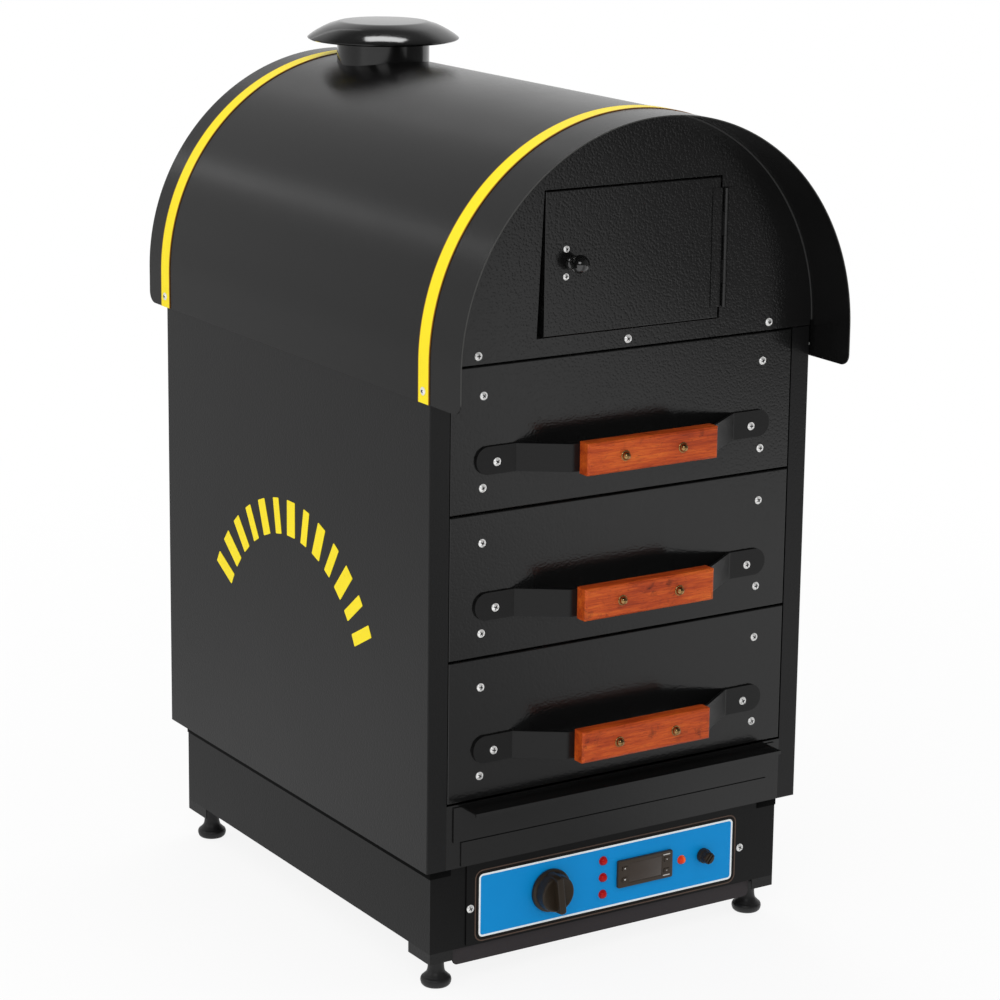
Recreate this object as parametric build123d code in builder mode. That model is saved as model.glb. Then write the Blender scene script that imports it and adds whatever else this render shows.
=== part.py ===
"""Baked potato oven: a three-drawer oven under a barrel hood, on a plinth that holds the controls.

Millimetres, +Z up, front towards -Y. The origin lies on the floor, under the middle of the hood.
"""
import os
from math import cos, radians, sin, sqrt

from build123d import *

os.makedirs("parts", exist_ok=True)

# ---------------------------------------------------------------- driving dimensions
SHEET = 1.5                      # folded steel sheet
BODY_WIDTH = 490.0
BODY_DEPTH = 600.0
FOOT_HEIGHT = 45.0
BASE_HEIGHT = 100.0
BASE_SIDE_INSET = 14.5
BASE_FRONT_INSET = 16.5
BASE_REAR_INSET = 15.0
BASE_FLANGE = 12.0               # turned-in edge along the foot of the plinth
POST_WIDTH = 22.5                # front flange of each side panel
POST_RETURN = 22.0               # how far that flange folds back into the body
CORNER_RADIUS = 1.2              # outside bend of the folded fronts

LOWER_FRONT_HEIGHT = 72.5        # fixed front and crumb tray, below the lowest drawer
DRAWER_PITCH = 158.0
DRAWER_COUNT = 3
FRONT_GAP = 2.0                  # dark line between two fronts
RUNNING_GAP = 0.3                # between a sliding or turning piece and what carries it
SEAT_GAP = 0.2                   # between curved sheets of the casing
HOLE_CLEARANCE = 0.2             # radial, round a fixed screw or pipe
SHAFT_CLEARANCE = 0.06           # radial, round a shaft that turns

HOOD_SHEET = 1.2
HOOD_SIDE_GAP = 3.0              # from a side wall to the inside of the hood's skirt
HOOD_FRONT_OVERHANG = 65.5
HOOD_REAR_OVERHANG = 37.5
HOOD_CENTRE_RISE = 7.0           # hood axis above the top drawer's upper seam
HOOD_SKIRT = 41.0                # straight drop below the axis
HOOD_CORNER_RADIUS = 13.0
TRIM_WIDTH = 22.0
TRIM_THICKNESS = 1.0
FRONT_TRIM_SETBACK = 71.0        # from the hood's front edge to the middle of the strip
REAR_TRIM_SETBACK = 43.0
ARCH_RIM_DEPTH = 20.0

FLUE_RADIUS = 54.5
FLUE_WALL = 1.5
FLUE_FROM_BACK = 84.0            # from the back of the body to the pipe's axis
FLUE_FOOT_DROP = 12.0            # pipe's foot below the crown of the warming liner
FLUE_RISE = 20.0                 # pipe above the crown of the hood
CAP_RADIUS = 89.5
CAP_TOP_RADIUS = 48.0
CAP_RIM_RISE = 25.0
CAP_HEIGHT = 18.5
CAP_SHEET = 1.5
CAP_BROW = 8.0                   # where the dome meets the flared rim, in from the edge
CAP_BROW_RISE = 5.5
CAP_SHOULDER = 20.0              # middle of the dome's fall, out from the flat top
CAP_SHOULDER_SHARE = 0.72        # its height as a share of the cap's
CAP_RIM_EDGE = 2.0
CAP_LEGS = 3
CAP_LEG_WIDTH = 14.0
CAP_LEG_DEPTH = 18.0             # how far each leg reaches down into the pipe

DOOR_LEFT = -107.0
DOOR_RIGHT = 118.0
DOOR_FOOT_RISE = 21.5            # above the seam under the arched front
DOOR_HEIGHT = 154.0
DOOR_GAP = 1.6
DOOR_WIDE_GAP = 9.0              # latch-side gap at the foot of the door
DOOR_DEPTH = 12.0
DOOR_KNOB_X = -72.0
DOOR_KNOB_RADIUS = 10.0
DOOR_KNOB_REACH = 24.0
DOOR_KNOB_FLANGE = (7.5, 2.5)    # radius and thickness of its foot
DOOR_KNOB_NECK = (6.0, 4.2)      # radius at the foot and under the ball
DOOR_KNOB_STUD = 6.0
CATCH_OFFSET = -8.5              # from the knob's axis
CATCH_SCREW_RISE = 14.7
CATCH_WIDTH = 12.0
CATCH_HEIGHT = 44.0
CATCH_THICKNESS = 2.0
CATCH_BORE = 3.0
CATCH_SCREW_SCALE = 0.8          # its screws against the casing's
HINGE_PIN_RADIUS = 1.5
HINGE_LEAF_SHEET = 1.0
HINGE_END_GAP = 12.0             # from each end of the hinge to the door's edge
HINGE_SIDE_GAP = 1.0             # between the knuckles and the door's gap
HINGE_FRONT_GAP = 0.4            # between the knuckles and the front
HINGE_LEAF_GAP = 0.6             # from the knuckles to the flat of each leaf
HINGE_LEAF_WIDTH = 13.0
HINGE_KNUCKLES = 5

LINER_SIDE_GAP = 29.0            # from the outside of a wall to the liner's inner face
LINER_BACK_CLEARANCE = 40.0      # behind the liner, inside the back panel
LINER_FOOT_RISE = 15.0           # liner floor above the body floor
LINER_SLOT_COUNT = 5
LINER_SLOT_PITCH = 30.0
LINER_SLOT = (70.0, 8.0)
LINER_SLOT_SETBACK = 30.0        # in front of the flue's axis
FRAME_OPENING_INSET = 2.0        # inside the liner's walls
FRAME_RAIL = 8.0                 # half height of a rail between two drawers

BOX_SIDE_GAP = 16.0              # room for a runner beside the box
BOX_REAR_GAP = 87.0              # behind the box, in front of the liner's back
BOX_TOP_GAP = 40.0               # below the seam over its front
BOX_FOOT_RISE = 14.0             # above the seam under its front
BOX_FLANGE = 12.0
VENT_HOLE_RADIUS = 6.0
VENT_PITCH_X = 62.0
VENT_PITCH_Y = 72.0
VENT_COUNT = 6                   # each way
RUNNER_HEIGHT = 15.0
RUNNER_SHEET = 2.0
RUNNER_BOX_GAP = 3.0             # between a runner's edge and the box

TRAY_HEIGHT = 28.0
TRAY_FLANGE = 8.0
TRAY_FOOT_GAP = 1.0
TRAY_FRONT_LAP = 3.0             # how far the tray front laps over the edge of its opening
TRAY_OPENING_GAP = 1.0           # beside the tray's flanges
TRAY_FRONT_INSET = 7.0           # from the end of a drawer front
TRAY_FRONT_HEIGHT = 39.0
TRAY_FRONT_DROP = 3.6            # top of the tray front below the lowest drawer's seam
LEDGE_INSET = 11.0               # from the end of the tray front
LEDGE_REACH = 29.0
LEDGE_LIP = 4.0
STRIP_INSET = 10.0               # fixed strip, in from the end of the tray front above it
STRIP_HEIGHT = 28.5

STRAP_THICKNESS = 3.0
STRAP_HEIGHT = 30.0
STRAP_RISE = 56.0                # middle of the handle above the drawer's lower seam
STRAP_END_INSET = 30.0           # from the end of the drawer front
STRAP_TAB = 49.0                 # flat end of the strap
STRAP_RAMP = 49.0                # sloped run, measured along the front
STRAP_REACH = 37.0               # back of the grip in front of the drawer
STRAP_BEND_RADIUS = 6.0
STRAP_END_CORNER = 14.6          # rounding of its flat ends
HANDLE_SCREW_INSET = 25.0        # from the strap's end
HANDLE_SCREW_RISE = 54.0
GRIP_END_GAP = 8.0               # from the grip's end to the strap's bend
GRIP_HEIGHT = 35.0
GRIP_THICKNESS = 17.0
GRIP_BEVEL = 2.5
NUT_X = 37.0
FRONT_SCREW_INSET = 39.5
FRONT_SCREW_DROP = 32.6
FRONT_SCREW_RISE = 26.8

SCREW_HEAD_RADIUS = 3.9
SCREW_HEAD_HEIGHT = 2.2
SCREW_SHANK_RADIUS = 2.0
SCREW_LENGTH = 9.0
SCREW_RIM = 0.6                  # straight edge under the head's dome
SCREW_DOME = (0.72, 0.78)        # a point of the dome, as shares of radius and height
RECESS = (4.2, 0.9, 1.6)         # each arm of the cross
TRIM_SCREW_POINT = 1.2           # how far a strip's screw comes out inside the hood
DOME_NUT_RADIUS = 4.6
DOME_NUT_HEIGHT = 6.0
DOME_WASHER = (5.8, 0.8)         # radius and thickness
DOME_SKIRT = 2.2
DOME_FOOT = 1.4                  # where the dome begins
BOLT_RADIUS = 2.5
BOLT_HEAD = 2.5

INSULATION_GAP = 0.5
INSULATION_BACK_GAP = 8.0        # room for the screws of the back panel
ELEMENT_RADIUS = 4.0
ELEMENT_HALF_WIDTH = 120.0
ELEMENT_FRONT_SETBACK = 70.0
ELEMENT_BEND = 40.0
ELEMENT_RISE = 4.0
ELEMENT_TAIL = 14.0              # terminal end behind the liner
PROBE_RADIUS = 3.0
PROBE_LENGTH = 90.0
PROBE_INSET = 56.0               # from the liner's wall
PROBE_DROP = 14.0                # below the top drawer's lower seam
PROBE_TIP = 2.4                  # rounding of its end
WOOL_NOTCH_SIDE = 15.0           # room in the wool round the tails of the elements
WOOL_NOTCH_REAR = 4.0
WOOL_NOTCH_HALF = 10.0

DECK_DROP = 3.0                  # warming deck below the door's foot
DECK_HOLE_RADIUS = 7.0
DECK_HOLE_PITCH = (60.0, 80.0)
DECK_HOLE_COUNT = (6, 5)
WARMING_GAP = 25.2               # between the hood and the liner of the warming compartment

PLATE_INSET = 45.0               # from the side of the plinth
PLATE_MARGIN = 2.0
OVERLAY_INSET = 13.0             # from the end of the plate
OVERLAY_DROP = 0.6               # its middle below the control centre line
OVERLAY_HEIGHT = 77.5
OVERLAY_THICKNESS = 0.4
OVERLAY_RADIUS = 8.0
CONTROL_RISE = 45.0              # control centre line above the foot of the plinth
PLATE_SCREW_INSET = 4.7
PLATE_SCREW_DROP = 1.5
WINDOW_MARGIN = 15.0             # plate's lap over the opening in the plinth
WINDOW_HEIGHT = 56.0
WINDOW_CORNER = 4.0
SWITCH_X = -78.0
SWITCH_KNOB_RADIUS = 24.5
SWITCH_KNOB_DEPTH = 24.0
SWITCH_BODY = 44.0
SWITCH_BODY_DEPTH = 48.0
SWITCH_BODY_CORNER = 4.0
SKIRT_THICKNESS = 4.0            # disc at the back of the switch knob
SKIRT_STEP = 2.5
KNOB_BODY_DEPTH = 9.0            # tapered round body in front of the skirt
KNOB_TAPER = 4.0                 # degrees
KNOB_EDGE = 1.5
KNOB_BAR_WIDTH = 11.0            # raised bar across the knob
KNOB_BAR_INSET = 1.5
KNOB_BAR_CORNER = 4.0
SHAFT_RADIUS = 3.0
SHAFT_LENGTH = 16.0              # bore in the body behind the plate
SHAFT_END_GAP = 3.0
SHAFT_HOLE_GAP = 1.0             # radial, in the plate round a shaft
KNOB_STANDOFF = 0.8
CONTROLLER_X = 47.5
CONTROLLER_WIDTH = 74.0
CONTROLLER_HEIGHT = 32.0
CONTROLLER_BEZEL = 4.0
CONTROLLER_HOUSING = (70.0, 28.0, 58.0)
CONTROLLER_CORNER = 2.0
CONTROLLER_CHAMFER = 0.7
HOUSING_PLAY = 0.3               # round the housing in the plate
KEY_CORNER = 1.0
KEY_X = 28.5
KEY_Z = 6.5
KEY_WIDTH = 7.0
KEY_HEIGHT = 4.6
KEY_PROUD = 0.8
KEY_DEPTH = 2.6
KEY_POCKET = 3.4
LAMP_X = -8.0
LAMP_PITCH = 19.6
LIT_LAMP_X = 99.0
LAMP_RADIUS = 4.6
LAMP_BODY_RADIUS = 3.8
LAMP_BODY_DEPTH = 18.0
LAMP_RIM = 0.8
LAMP_DOME_INSET = 0.5
LIMITER_X = 128.5
LIMITER_KNOB_RADIUS = 8.4
LIMITER_KNOB_DEPTH = 15.0
LIMITER_SKIRT = 6.0
LIMITER_STEP = 1.6
LIMITER_EDGE = 1.0
LIMITER_SLOT = (1.6, 2.0)        # width and depth
LIMITER_BODY_RADIUS = 15.0
LIMITER_BODY_DEPTH = 24.0
BEHIND_PLATE = 0.3               # between the plate and the bodies fitted behind it

GLAND_X = 150.0
GLAND_RISE = 40.0
GLAND_BODY_RADIUS = 10.0
GLAND_NUT = (13.0, 5.0)          # across corners, as a radius, and thickness
GLAND_NOSE = (8.0, 9.0)          # radius and reach behind the plinth
GLAND_BORE = 5.0
GLAND_LENGTH = 12.0              # of the body, from its nut inwards
TERMINAL_X = 150.0
TERMINAL_LENGTH = 120.0
TERMINAL_RISE = 60.0
TERMINAL_SIDE = 22.0
TERMINAL_PITCH = 18.0
TERMINAL_COUNT = 6
TERMINAL_BORE = (3.0, 8.0)       # radius and depth
BASE_SLOT_X = -60.0
BASE_SLOT_RISE = 50.0
BASE_SLOT_PITCH = 16.0
BASE_SLOT_COUNT = 9
BASE_SLOT = (50.0, 5.0)
BACK_SLOT_RISE = 120.0           # above the hood's axis
BACK_SLOT_PITCH = 20.0
BACK_SLOT_COUNT = 7
BACK_SLOT = (60.0, 5.0)
BACK_SCREW_INSET = 20.0
BACK_SCREW_FOOT = 20.0
BACK_SCREW_TOP = 40.0
BACK_SCREW_MIDDLE = 270.0
ARCH_SCREW_INSET = 57.5
ARCH_SCREW_RISE = 9.9
TRIM_SCREW_RISE = 13.0

BRACKET_WIDTH = 29.0
BRACKET_DEPTH = 45.0
BRACKET_SHEET = 2.0
BRACKET_TAB = 12.0
FOOT_INSET = 20.5
FOOT_DISC_RADIUS = 16.5
FOOT_DISC_HEIGHT = 11.0
FOOT_STEM_RADIUS = 9.0
STUD_RADIUS = 4.0
STUD_RISE = 17.0                 # above the plinth's foot
FOOT_EDGE = 3.0
FOOT_SHOULDER = 5.0
NUT_RADIUS = 7.4                 # across corners
NUT_HEIGHT = 6.5
HEX = 6
PAN_BRACKET_GAP = 2.5            # between the pan and a corner bracket
PAN_DEPTH = 500.0
PAN_FRONT_INSET = 4.0
PAN_DROP = 20.0
PAN_CORNER = 6.0
PAN_SLOT = (60.0, 6.0)
PAN_SLOT_PITCH = (24.0, 90.0)
PAN_SLOT_COUNT = (9, 4)
FRAME_TRAY_GAP = 2.0             # frame's opening for the tray, below the lowest drawer

# ---------------------------------------------------------------- places worked out from them
HOOD_LENGTH = HOOD_FRONT_OVERHANG + BODY_DEPTH + HOOD_REAR_OVERHANG
FRONT_Y = -HOOD_LENGTH / 2 + HOOD_FRONT_OVERHANG
BACK_Y = FRONT_Y + BODY_DEPTH
BODY_Z = FOOT_HEIGHT + BASE_HEIGHT
DRAWER_Z = BODY_Z + LOWER_FRONT_HEIGHT
SEAM_Z = DRAWER_Z + DRAWER_COUNT * DRAWER_PITCH
HOOD_Z = SEAM_Z + HOOD_CENTRE_RISE
HALF_WIDTH = BODY_WIDTH / 2
INSIDE_X = HALF_WIDTH - SHEET
POST_X = HALF_WIDTH - POST_WIDTH
FRONT_HALF_WIDTH = POST_X - SHEET - FRONT_GAP / 2
HOOD_RADIUS = HALF_WIDTH + HOOD_SIDE_GAP + HOOD_SHEET
ARCH_RADIUS = HOOD_RADIUS - HOOD_SHEET - SEAT_GAP
BASE_HALF_WIDTH = HALF_WIDTH - BASE_SIDE_INSET
PLATE_HALF_WIDTH = BASE_HALF_WIDTH - PLATE_INSET
OVERLAY_HALF_WIDTH = PLATE_HALF_WIDTH - OVERLAY_INSET
PLATE_SCREW_X = PLATE_HALF_WIDTH - PLATE_SCREW_INSET
PAN_HALF_WIDTH = BASE_HALF_WIDTH - BRACKET_WIDTH - PAN_BRACKET_GAP
STUD_TOP = FOOT_HEIGHT + STUD_RISE
BASE_FRONT_Y = FRONT_Y + BASE_FRONT_INSET
BASE_BACK_Y = BACK_Y - BASE_REAR_INSET
FRAME_Y = FRONT_Y + POST_RETURN
LINER_Y = FRAME_Y + SHEET
LINER_BACK_Y = BACK_Y - SHEET - LINER_BACK_CLEARANCE
LINER_Z = BODY_Z + LINER_FOOT_RISE
LINER_TOP_Z = SEAM_Z - FRAME_RAIL / 2
LINER_HALF_WIDTH = HALF_WIDTH - LINER_SIDE_GAP
FRAME_OPENING_HALF = LINER_HALF_WIDTH - FRAME_OPENING_INSET
BOX_HALF_WIDTH = LINER_HALF_WIDTH - BOX_SIDE_GAP
BOX_DEPTH = LINER_BACK_Y - FRONT_Y - SHEET - BOX_REAR_GAP
BOX_HEIGHT = DRAWER_PITCH - BOX_FOOT_RISE - BOX_TOP_GAP
RUNNER_INNER_X = BOX_HALF_WIDTH + RUNNER_BOX_GAP
TRAY_FRONT_HALF_WIDTH = FRONT_HALF_WIDTH - TRAY_FRONT_INSET
LEDGE_HALF_WIDTH = TRAY_FRONT_HALF_WIDTH - LEDGE_INSET
STRIP_HALF_WIDTH = TRAY_FRONT_HALF_WIDTH - STRIP_INSET
STRAP_END_X = FRONT_HALF_WIDTH - STRAP_END_INSET
STRAP_BEND_X = STRAP_END_X - STRAP_TAB
STRAP_STEP_X = STRAP_BEND_X - STRAP_RAMP
GRIP_HALF_LENGTH = STRAP_STEP_X - GRIP_END_GAP
HANDLE_SCREW_X = STRAP_END_X - HANDLE_SCREW_INSET
FRONT_SCREW_X = FRONT_HALF_WIDTH - FRONT_SCREW_INSET
WARMING_RADIUS = HOOD_RADIUS - WARMING_GAP
FLUE_Y = BACK_Y - FLUE_FROM_BACK
FLUE_FOOT_Z = HOOD_Z + WARMING_RADIUS - FLUE_FOOT_DROP
CROWN_Z = HOOD_Z + HOOD_RADIUS
DOOR_Z = SEAM_Z + DOOR_FOOT_RISE
DECK_Z = DOOR_Z - DECK_DROP
DOOR_MIDDLE_Z = DOOR_Z + DOOR_HEIGHT / 2
HINGE_LENGTH = DOOR_HEIGHT - 2 * HINGE_END_GAP
GLAND_Z = FOOT_HEIGHT + GLAND_RISE
CONTROL_Z = FOOT_HEIGHT + CONTROL_RISE
PLATE_Y = BASE_FRONT_Y - SHEET
PANEL_FACE_Y = PLATE_Y - OVERLAY_THICKNESS
TRAY_FRONT_TOP = DRAWER_Z - TRAY_FRONT_DROP
TRAY_OPENING_Z = TRAY_FRONT_TOP - TRAY_FRONT_HEIGHT + TRAY_FRONT_LAP
SCREW_HOLE_RADIUS = SCREW_SHANK_RADIUS + HOLE_CLEARANCE

ARCH_SCREWS = [(side * (HALF_WIDTH - ARCH_SCREW_INSET), SEAM_Z + ARCH_SCREW_RISE) for side in (-1, 0, 1)]
BACK_SCREW_LEVELS = (BODY_Z + BACK_SCREW_FOOT, BODY_Z + BACK_SCREW_MIDDLE, SEAM_Z - BACK_SCREW_TOP)
BACK_SCREWS = [(side * (HALF_WIDTH - BACK_SCREW_INSET), z) for side in (-1, 1) for z in BACK_SCREW_LEVELS]
PLATE_SCREWS = [(side * PLATE_SCREW_X, CONTROL_Z - PLATE_SCREW_DROP) for side in (-1, 1)]
TRIM_SCREW_Z = HOOD_Z - HOOD_SKIRT + TRIM_SCREW_RISE
TRIM_Y = (-HOOD_LENGTH / 2 + FRONT_TRIM_SETBACK, HOOD_LENGTH / 2 - REAR_TRIM_SETBACK)
LAMPS = [(LAMP_X, CONTROL_Z + step * LAMP_PITCH) for step in (-1, 0, 1)] + [(LIT_LAMP_X, CONTROL_Z)]


def slab(x0, x1, y0, y1, z0, z1, mode=Mode.ADD):
    """Add (or cut) a box given by its corners."""
    with Locations(((x0 + x1) / 2, (y0 + y1) / 2, (z0 + z1) / 2)):
        Box(x1 - x0, y1 - y0, z1 - z0, mode=mode)


def facing(y):
    """Plane parallel to the front at depth y, X to the right, Z up, normal towards the front."""
    return Plane((0, y, 0), x_dir=(1, 0, 0), z_dir=(0, -1, 0))


def arch_outline(radius, half_width, foot_z):
    """Add a face with straight sides under a round top, centred on the hood's axis."""
    with Locations((0, HOOD_Z)):
        Circle(radius)
    with Locations((0, (foot_z + HOOD_Z) / 2)):
        Rectangle(2 * half_width, HOOD_Z - foot_z)
    with Locations((0, foot_z - radius / 2)):
        Rectangle(2 * radius + 2, radius, mode=Mode.SUBTRACT)
    if half_width < radius:
        for side in (-1, 1):
            with Locations((side * (half_width + radius / 2), (foot_z + HOOD_Z) / 2)):
                Rectangle(radius, HOOD_Z - foot_z, mode=Mode.SUBTRACT)


def pan_head_screw(length=SCREW_LENGTH):
    """Return a pan-head screw whose head sits on the XY plane and whose shank points to -Z."""
    dome_point = (SCREW_HEAD_RADIUS * SCREW_DOME[0], SCREW_HEAD_HEIGHT * SCREW_DOME[1])
    arm_length, arm_width, arm_depth = RECESS
    with BuildPart() as screw:
        with BuildSketch(Plane.XZ):
            with BuildLine():
                Polyline((0, SCREW_HEAD_HEIGHT), (0, -length), (SCREW_SHANK_RADIUS, -length),
                         (SCREW_SHANK_RADIUS, 0), (SCREW_HEAD_RADIUS, 0), (SCREW_HEAD_RADIUS, SCREW_RIM))
                ThreePointArc((SCREW_HEAD_RADIUS, SCREW_RIM), dome_point, (0, SCREW_HEAD_HEIGHT))
            make_face()
        revolve(axis=Axis.Z)
        with Locations((0, 0, SCREW_HEAD_HEIGHT)):
            Box(arm_length, arm_width, arm_depth, mode=Mode.SUBTRACT)
            Box(arm_width, arm_length, arm_depth, mode=Mode.SUBTRACT)
    return screw.part


PAN_HEAD = pan_head_screw()


# ---------------------------------------------------------------- plinth
with BuildPart() as base_shell:
    slab(-BASE_HALF_WIDTH, BASE_HALF_WIDTH, BASE_FRONT_Y, BASE_BACK_Y, FOOT_HEIGHT, BODY_Z)
    slab(-BASE_HALF_WIDTH + SHEET, BASE_HALF_WIDTH - SHEET, BASE_FRONT_Y + SHEET, BASE_BACK_Y - SHEET,
         FOOT_HEIGHT + SHEET, BODY_Z - SHEET, Mode.SUBTRACT)
    slab(-BASE_HALF_WIDTH + BASE_FLANGE, BASE_HALF_WIDTH - BASE_FLANGE, BASE_FRONT_Y + BASE_FLANGE,
         BASE_BACK_Y - BASE_FLANGE, FOOT_HEIGHT - 1, BODY_Z + 1, Mode.SUBTRACT)
    with BuildSketch(facing(BASE_FRONT_Y)):
        with Locations((0, CONTROL_Z)):
            RectangleRounded(2 * (PLATE_HALF_WIDTH - WINDOW_MARGIN), WINDOW_HEIGHT, WINDOW_CORNER)
        with Locations(*PLATE_SCREWS):
            Circle(SCREW_HOLE_RADIUS)
    extrude(amount=-SHEET, mode=Mode.SUBTRACT)
    with BuildSketch(facing(BASE_BACK_Y - SHEET)):
        with Locations((GLAND_X, GLAND_Z)):
            Circle(GLAND_BODY_RADIUS + HOLE_CLEARANCE)
        with Locations((BASE_SLOT_X, FOOT_HEIGHT + BASE_SLOT_RISE)):
            with GridLocations(BASE_SLOT_PITCH, 0, BASE_SLOT_COUNT, 1):
                SlotOverall(*BASE_SLOT, rotation=90)
    extrude(amount=-SHEET, mode=Mode.SUBTRACT)
base_shell.part.label = "base_shell"
export_step(base_shell.part, "parts/base_shell.step")

with BuildPart() as bottom_pan:
    pan_y = BASE_FRONT_Y + PAN_FRONT_INSET
    slab(-PAN_HALF_WIDTH, PAN_HALF_WIDTH, pan_y, pan_y + PAN_DEPTH, FOOT_HEIGHT - PAN_DROP / 2, FOOT_HEIGHT)
    slab(-PAN_HALF_WIDTH + SHEET, PAN_HALF_WIDTH - SHEET, pan_y + SHEET, pan_y + PAN_DEPTH - SHEET,
         FOOT_HEIGHT - PAN_DROP, FOOT_HEIGHT - SHEET, Mode.SUBTRACT)
    with BuildSketch(facing(pan_y + SHEET)):
        with Locations((0, FOOT_HEIGHT - PAN_DROP / 2)):
            Rectangle(2 * PAN_HALF_WIDTH, PAN_DROP)
        fillet(vertices().group_by(Axis.Z)[0], PAN_CORNER)
    extrude(amount=SHEET)
    with BuildSketch(Plane.XY.offset(FOOT_HEIGHT)):
        with Locations((0, pan_y + PAN_DEPTH / 2)):
            with GridLocations(*PAN_SLOT_PITCH, *PAN_SLOT_COUNT):
                SlotOverall(*PAN_SLOT, rotation=90)
    extrude(amount=-SHEET, mode=Mode.SUBTRACT)
bottom_pan.part.label = "bottom_pan"
export_step(bottom_pan.part, "parts/bottom_pan.step")

FOOT_PLACES = {
    "front_left": (-1, BASE_FRONT_Y + FOOT_INSET, -1),
    "front_right": (1, BASE_FRONT_Y + FOOT_INSET, -1),
    "rear_left": (-1, BASE_BACK_Y - FOOT_INSET, 1),
    "rear_right": (1, BASE_BACK_Y - FOOT_INSET, 1),
}

with BuildPart() as foot_brackets:
    for side, foot_y, end in FOOT_PLACES.values():
        outer_x = side * BASE_HALF_WIDTH
        inner_x = outer_x - side * BRACKET_WIDTH
        outer_y = foot_y + end * FOOT_INSET
        inner_y = outer_y - end * BRACKET_DEPTH
        low_x, high_x = sorted((outer_x, inner_x))
        low_y, high_y = sorted((outer_y, inner_y))
        slab(low_x, high_x, low_y, high_y, FOOT_HEIGHT - BRACKET_SHEET, FOOT_HEIGHT)
        tab_x = sorted((outer_x, outer_x - side * BRACKET_SHEET))
        slab(*tab_x, low_y, high_y, FOOT_HEIGHT - BRACKET_TAB, FOOT_HEIGHT)
        tab_y = sorted((outer_y, outer_y - end * BRACKET_SHEET))
        slab(low_x, high_x, *tab_y, FOOT_HEIGHT - BRACKET_TAB, FOOT_HEIGHT)
        with BuildSketch(Plane.XY.offset(FOOT_HEIGHT)):
            with Locations((side * (BASE_HALF_WIDTH - FOOT_INSET), foot_y)):
                RegularPolygon(NUT_RADIUS, HEX)
        extrude(amount=NUT_HEIGHT)
        with BuildSketch(Plane.XY.offset(FOOT_HEIGHT - BRACKET_SHEET)):
            with Locations((side * (BASE_HALF_WIDTH - FOOT_INSET), foot_y)):
                Circle(STUD_RADIUS + SHAFT_CLEARANCE)
        extrude(amount=NUT_HEIGHT + BRACKET_SHEET, mode=Mode.SUBTRACT)
foot_brackets.part.label = "foot_brackets"
export_step(foot_brackets.part, "parts/foot_brackets.step")

for place, (side, foot_y, end) in FOOT_PLACES.items():
    stem_top = FOOT_HEIGHT - BRACKET_SHEET - RUNNING_GAP
    with BuildPart() as levelling_foot:
        with BuildSketch(Plane.XZ):
            with BuildLine():
                Polyline((0, 0), (FOOT_DISC_RADIUS - FOOT_EDGE, 0))
                ThreePointArc((FOOT_DISC_RADIUS - FOOT_EDGE, 0), (FOOT_DISC_RADIUS, FOOT_DISC_HEIGHT * 0.4),
                              (FOOT_DISC_RADIUS - FOOT_SHOULDER, FOOT_DISC_HEIGHT))
                Polyline((FOOT_DISC_RADIUS - FOOT_SHOULDER, FOOT_DISC_HEIGHT),
                         (FOOT_STEM_RADIUS, FOOT_DISC_HEIGHT + FOOT_EDGE),
                         (FOOT_STEM_RADIUS, stem_top), (STUD_RADIUS, stem_top), (STUD_RADIUS, STUD_TOP),
                         (0, STUD_TOP), (0, 0))
            make_face()
        revolve(axis=Axis.Z)
    foot = levelling_foot.part.moved(Location((side * (BASE_HALF_WIDTH - FOOT_INSET), foot_y, 0)))
    foot.label = f"foot_{place}"
    export_step(foot, f"parts/foot_{place}.step")


# ---------------------------------------------------------------- casing of the oven
def side_panel(side):
    """Return one side wall with its front flange and the flange's return, side is -1 or 1."""
    with BuildPart() as panel:
        wall_x = sorted((side * INSIDE_X, side * HALF_WIDTH))
        slab(*wall_x, FRONT_Y, BACK_Y - SHEET, BODY_Z, HOOD_Z)
        slab(*wall_x, FRONT_Y, FRONT_Y + SHEET, SEAM_Z, HOOD_Z, Mode.SUBTRACT)
        flange_x = sorted((side * POST_X, side * HALF_WIDTH))
        slab(*flange_x, FRONT_Y, FRONT_Y + SHEET, BODY_Z, SEAM_Z)
        return_x = sorted((side * POST_X, side * (POST_X - SHEET)))
        slab(*return_x, FRONT_Y, FRAME_Y, BODY_Z, SEAM_Z)
        corner = panel.edges().filter_by(Axis.Z).filter_by(
            lambda edge: abs(edge.center().Y - FRONT_Y) < 0.1
            and abs(abs(edge.center().X) - HALF_WIDTH) < 0.1)
        fillet(corner, CORNER_RADIUS)
    return panel.part


for side, name in ((-1, "left_side_panel"), (1, "right_side_panel")):
    wall = side_panel(side)
    wall.label = name
    export_step(wall, f"parts/{name}.step")

with BuildPart() as back_panel:
    with BuildSketch(facing(BACK_Y)):
        arch_outline(ARCH_RADIUS, HALF_WIDTH, BODY_Z)
    extrude(amount=SHEET)
    with BuildSketch(facing(BACK_Y - SHEET)):
        with Locations((0, HOOD_Z)):
            Circle(ARCH_RADIUS)
            Circle(ARCH_RADIUS - SHEET, mode=Mode.SUBTRACT)
        with Locations((0, HOOD_Z - ARCH_RADIUS)):
            Rectangle(2 * ARCH_RADIUS + 2, 2 * ARCH_RADIUS, mode=Mode.SUBTRACT)
    extrude(amount=ARCH_RIM_DEPTH)
    with BuildSketch(facing(BACK_Y)):
        with Locations(*BACK_SCREWS):
            Circle(SCREW_HOLE_RADIUS)
        with Locations((0, HOOD_Z + BACK_SLOT_RISE)):
            with GridLocations(BACK_SLOT_PITCH, 0, BACK_SLOT_COUNT, 1):
                SlotOverall(*BACK_SLOT, rotation=90)
    extrude(amount=SHEET, mode=Mode.SUBTRACT)
back_panel.part.label = "back_panel"
export_step(back_panel.part, "parts/back_panel.step")

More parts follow.
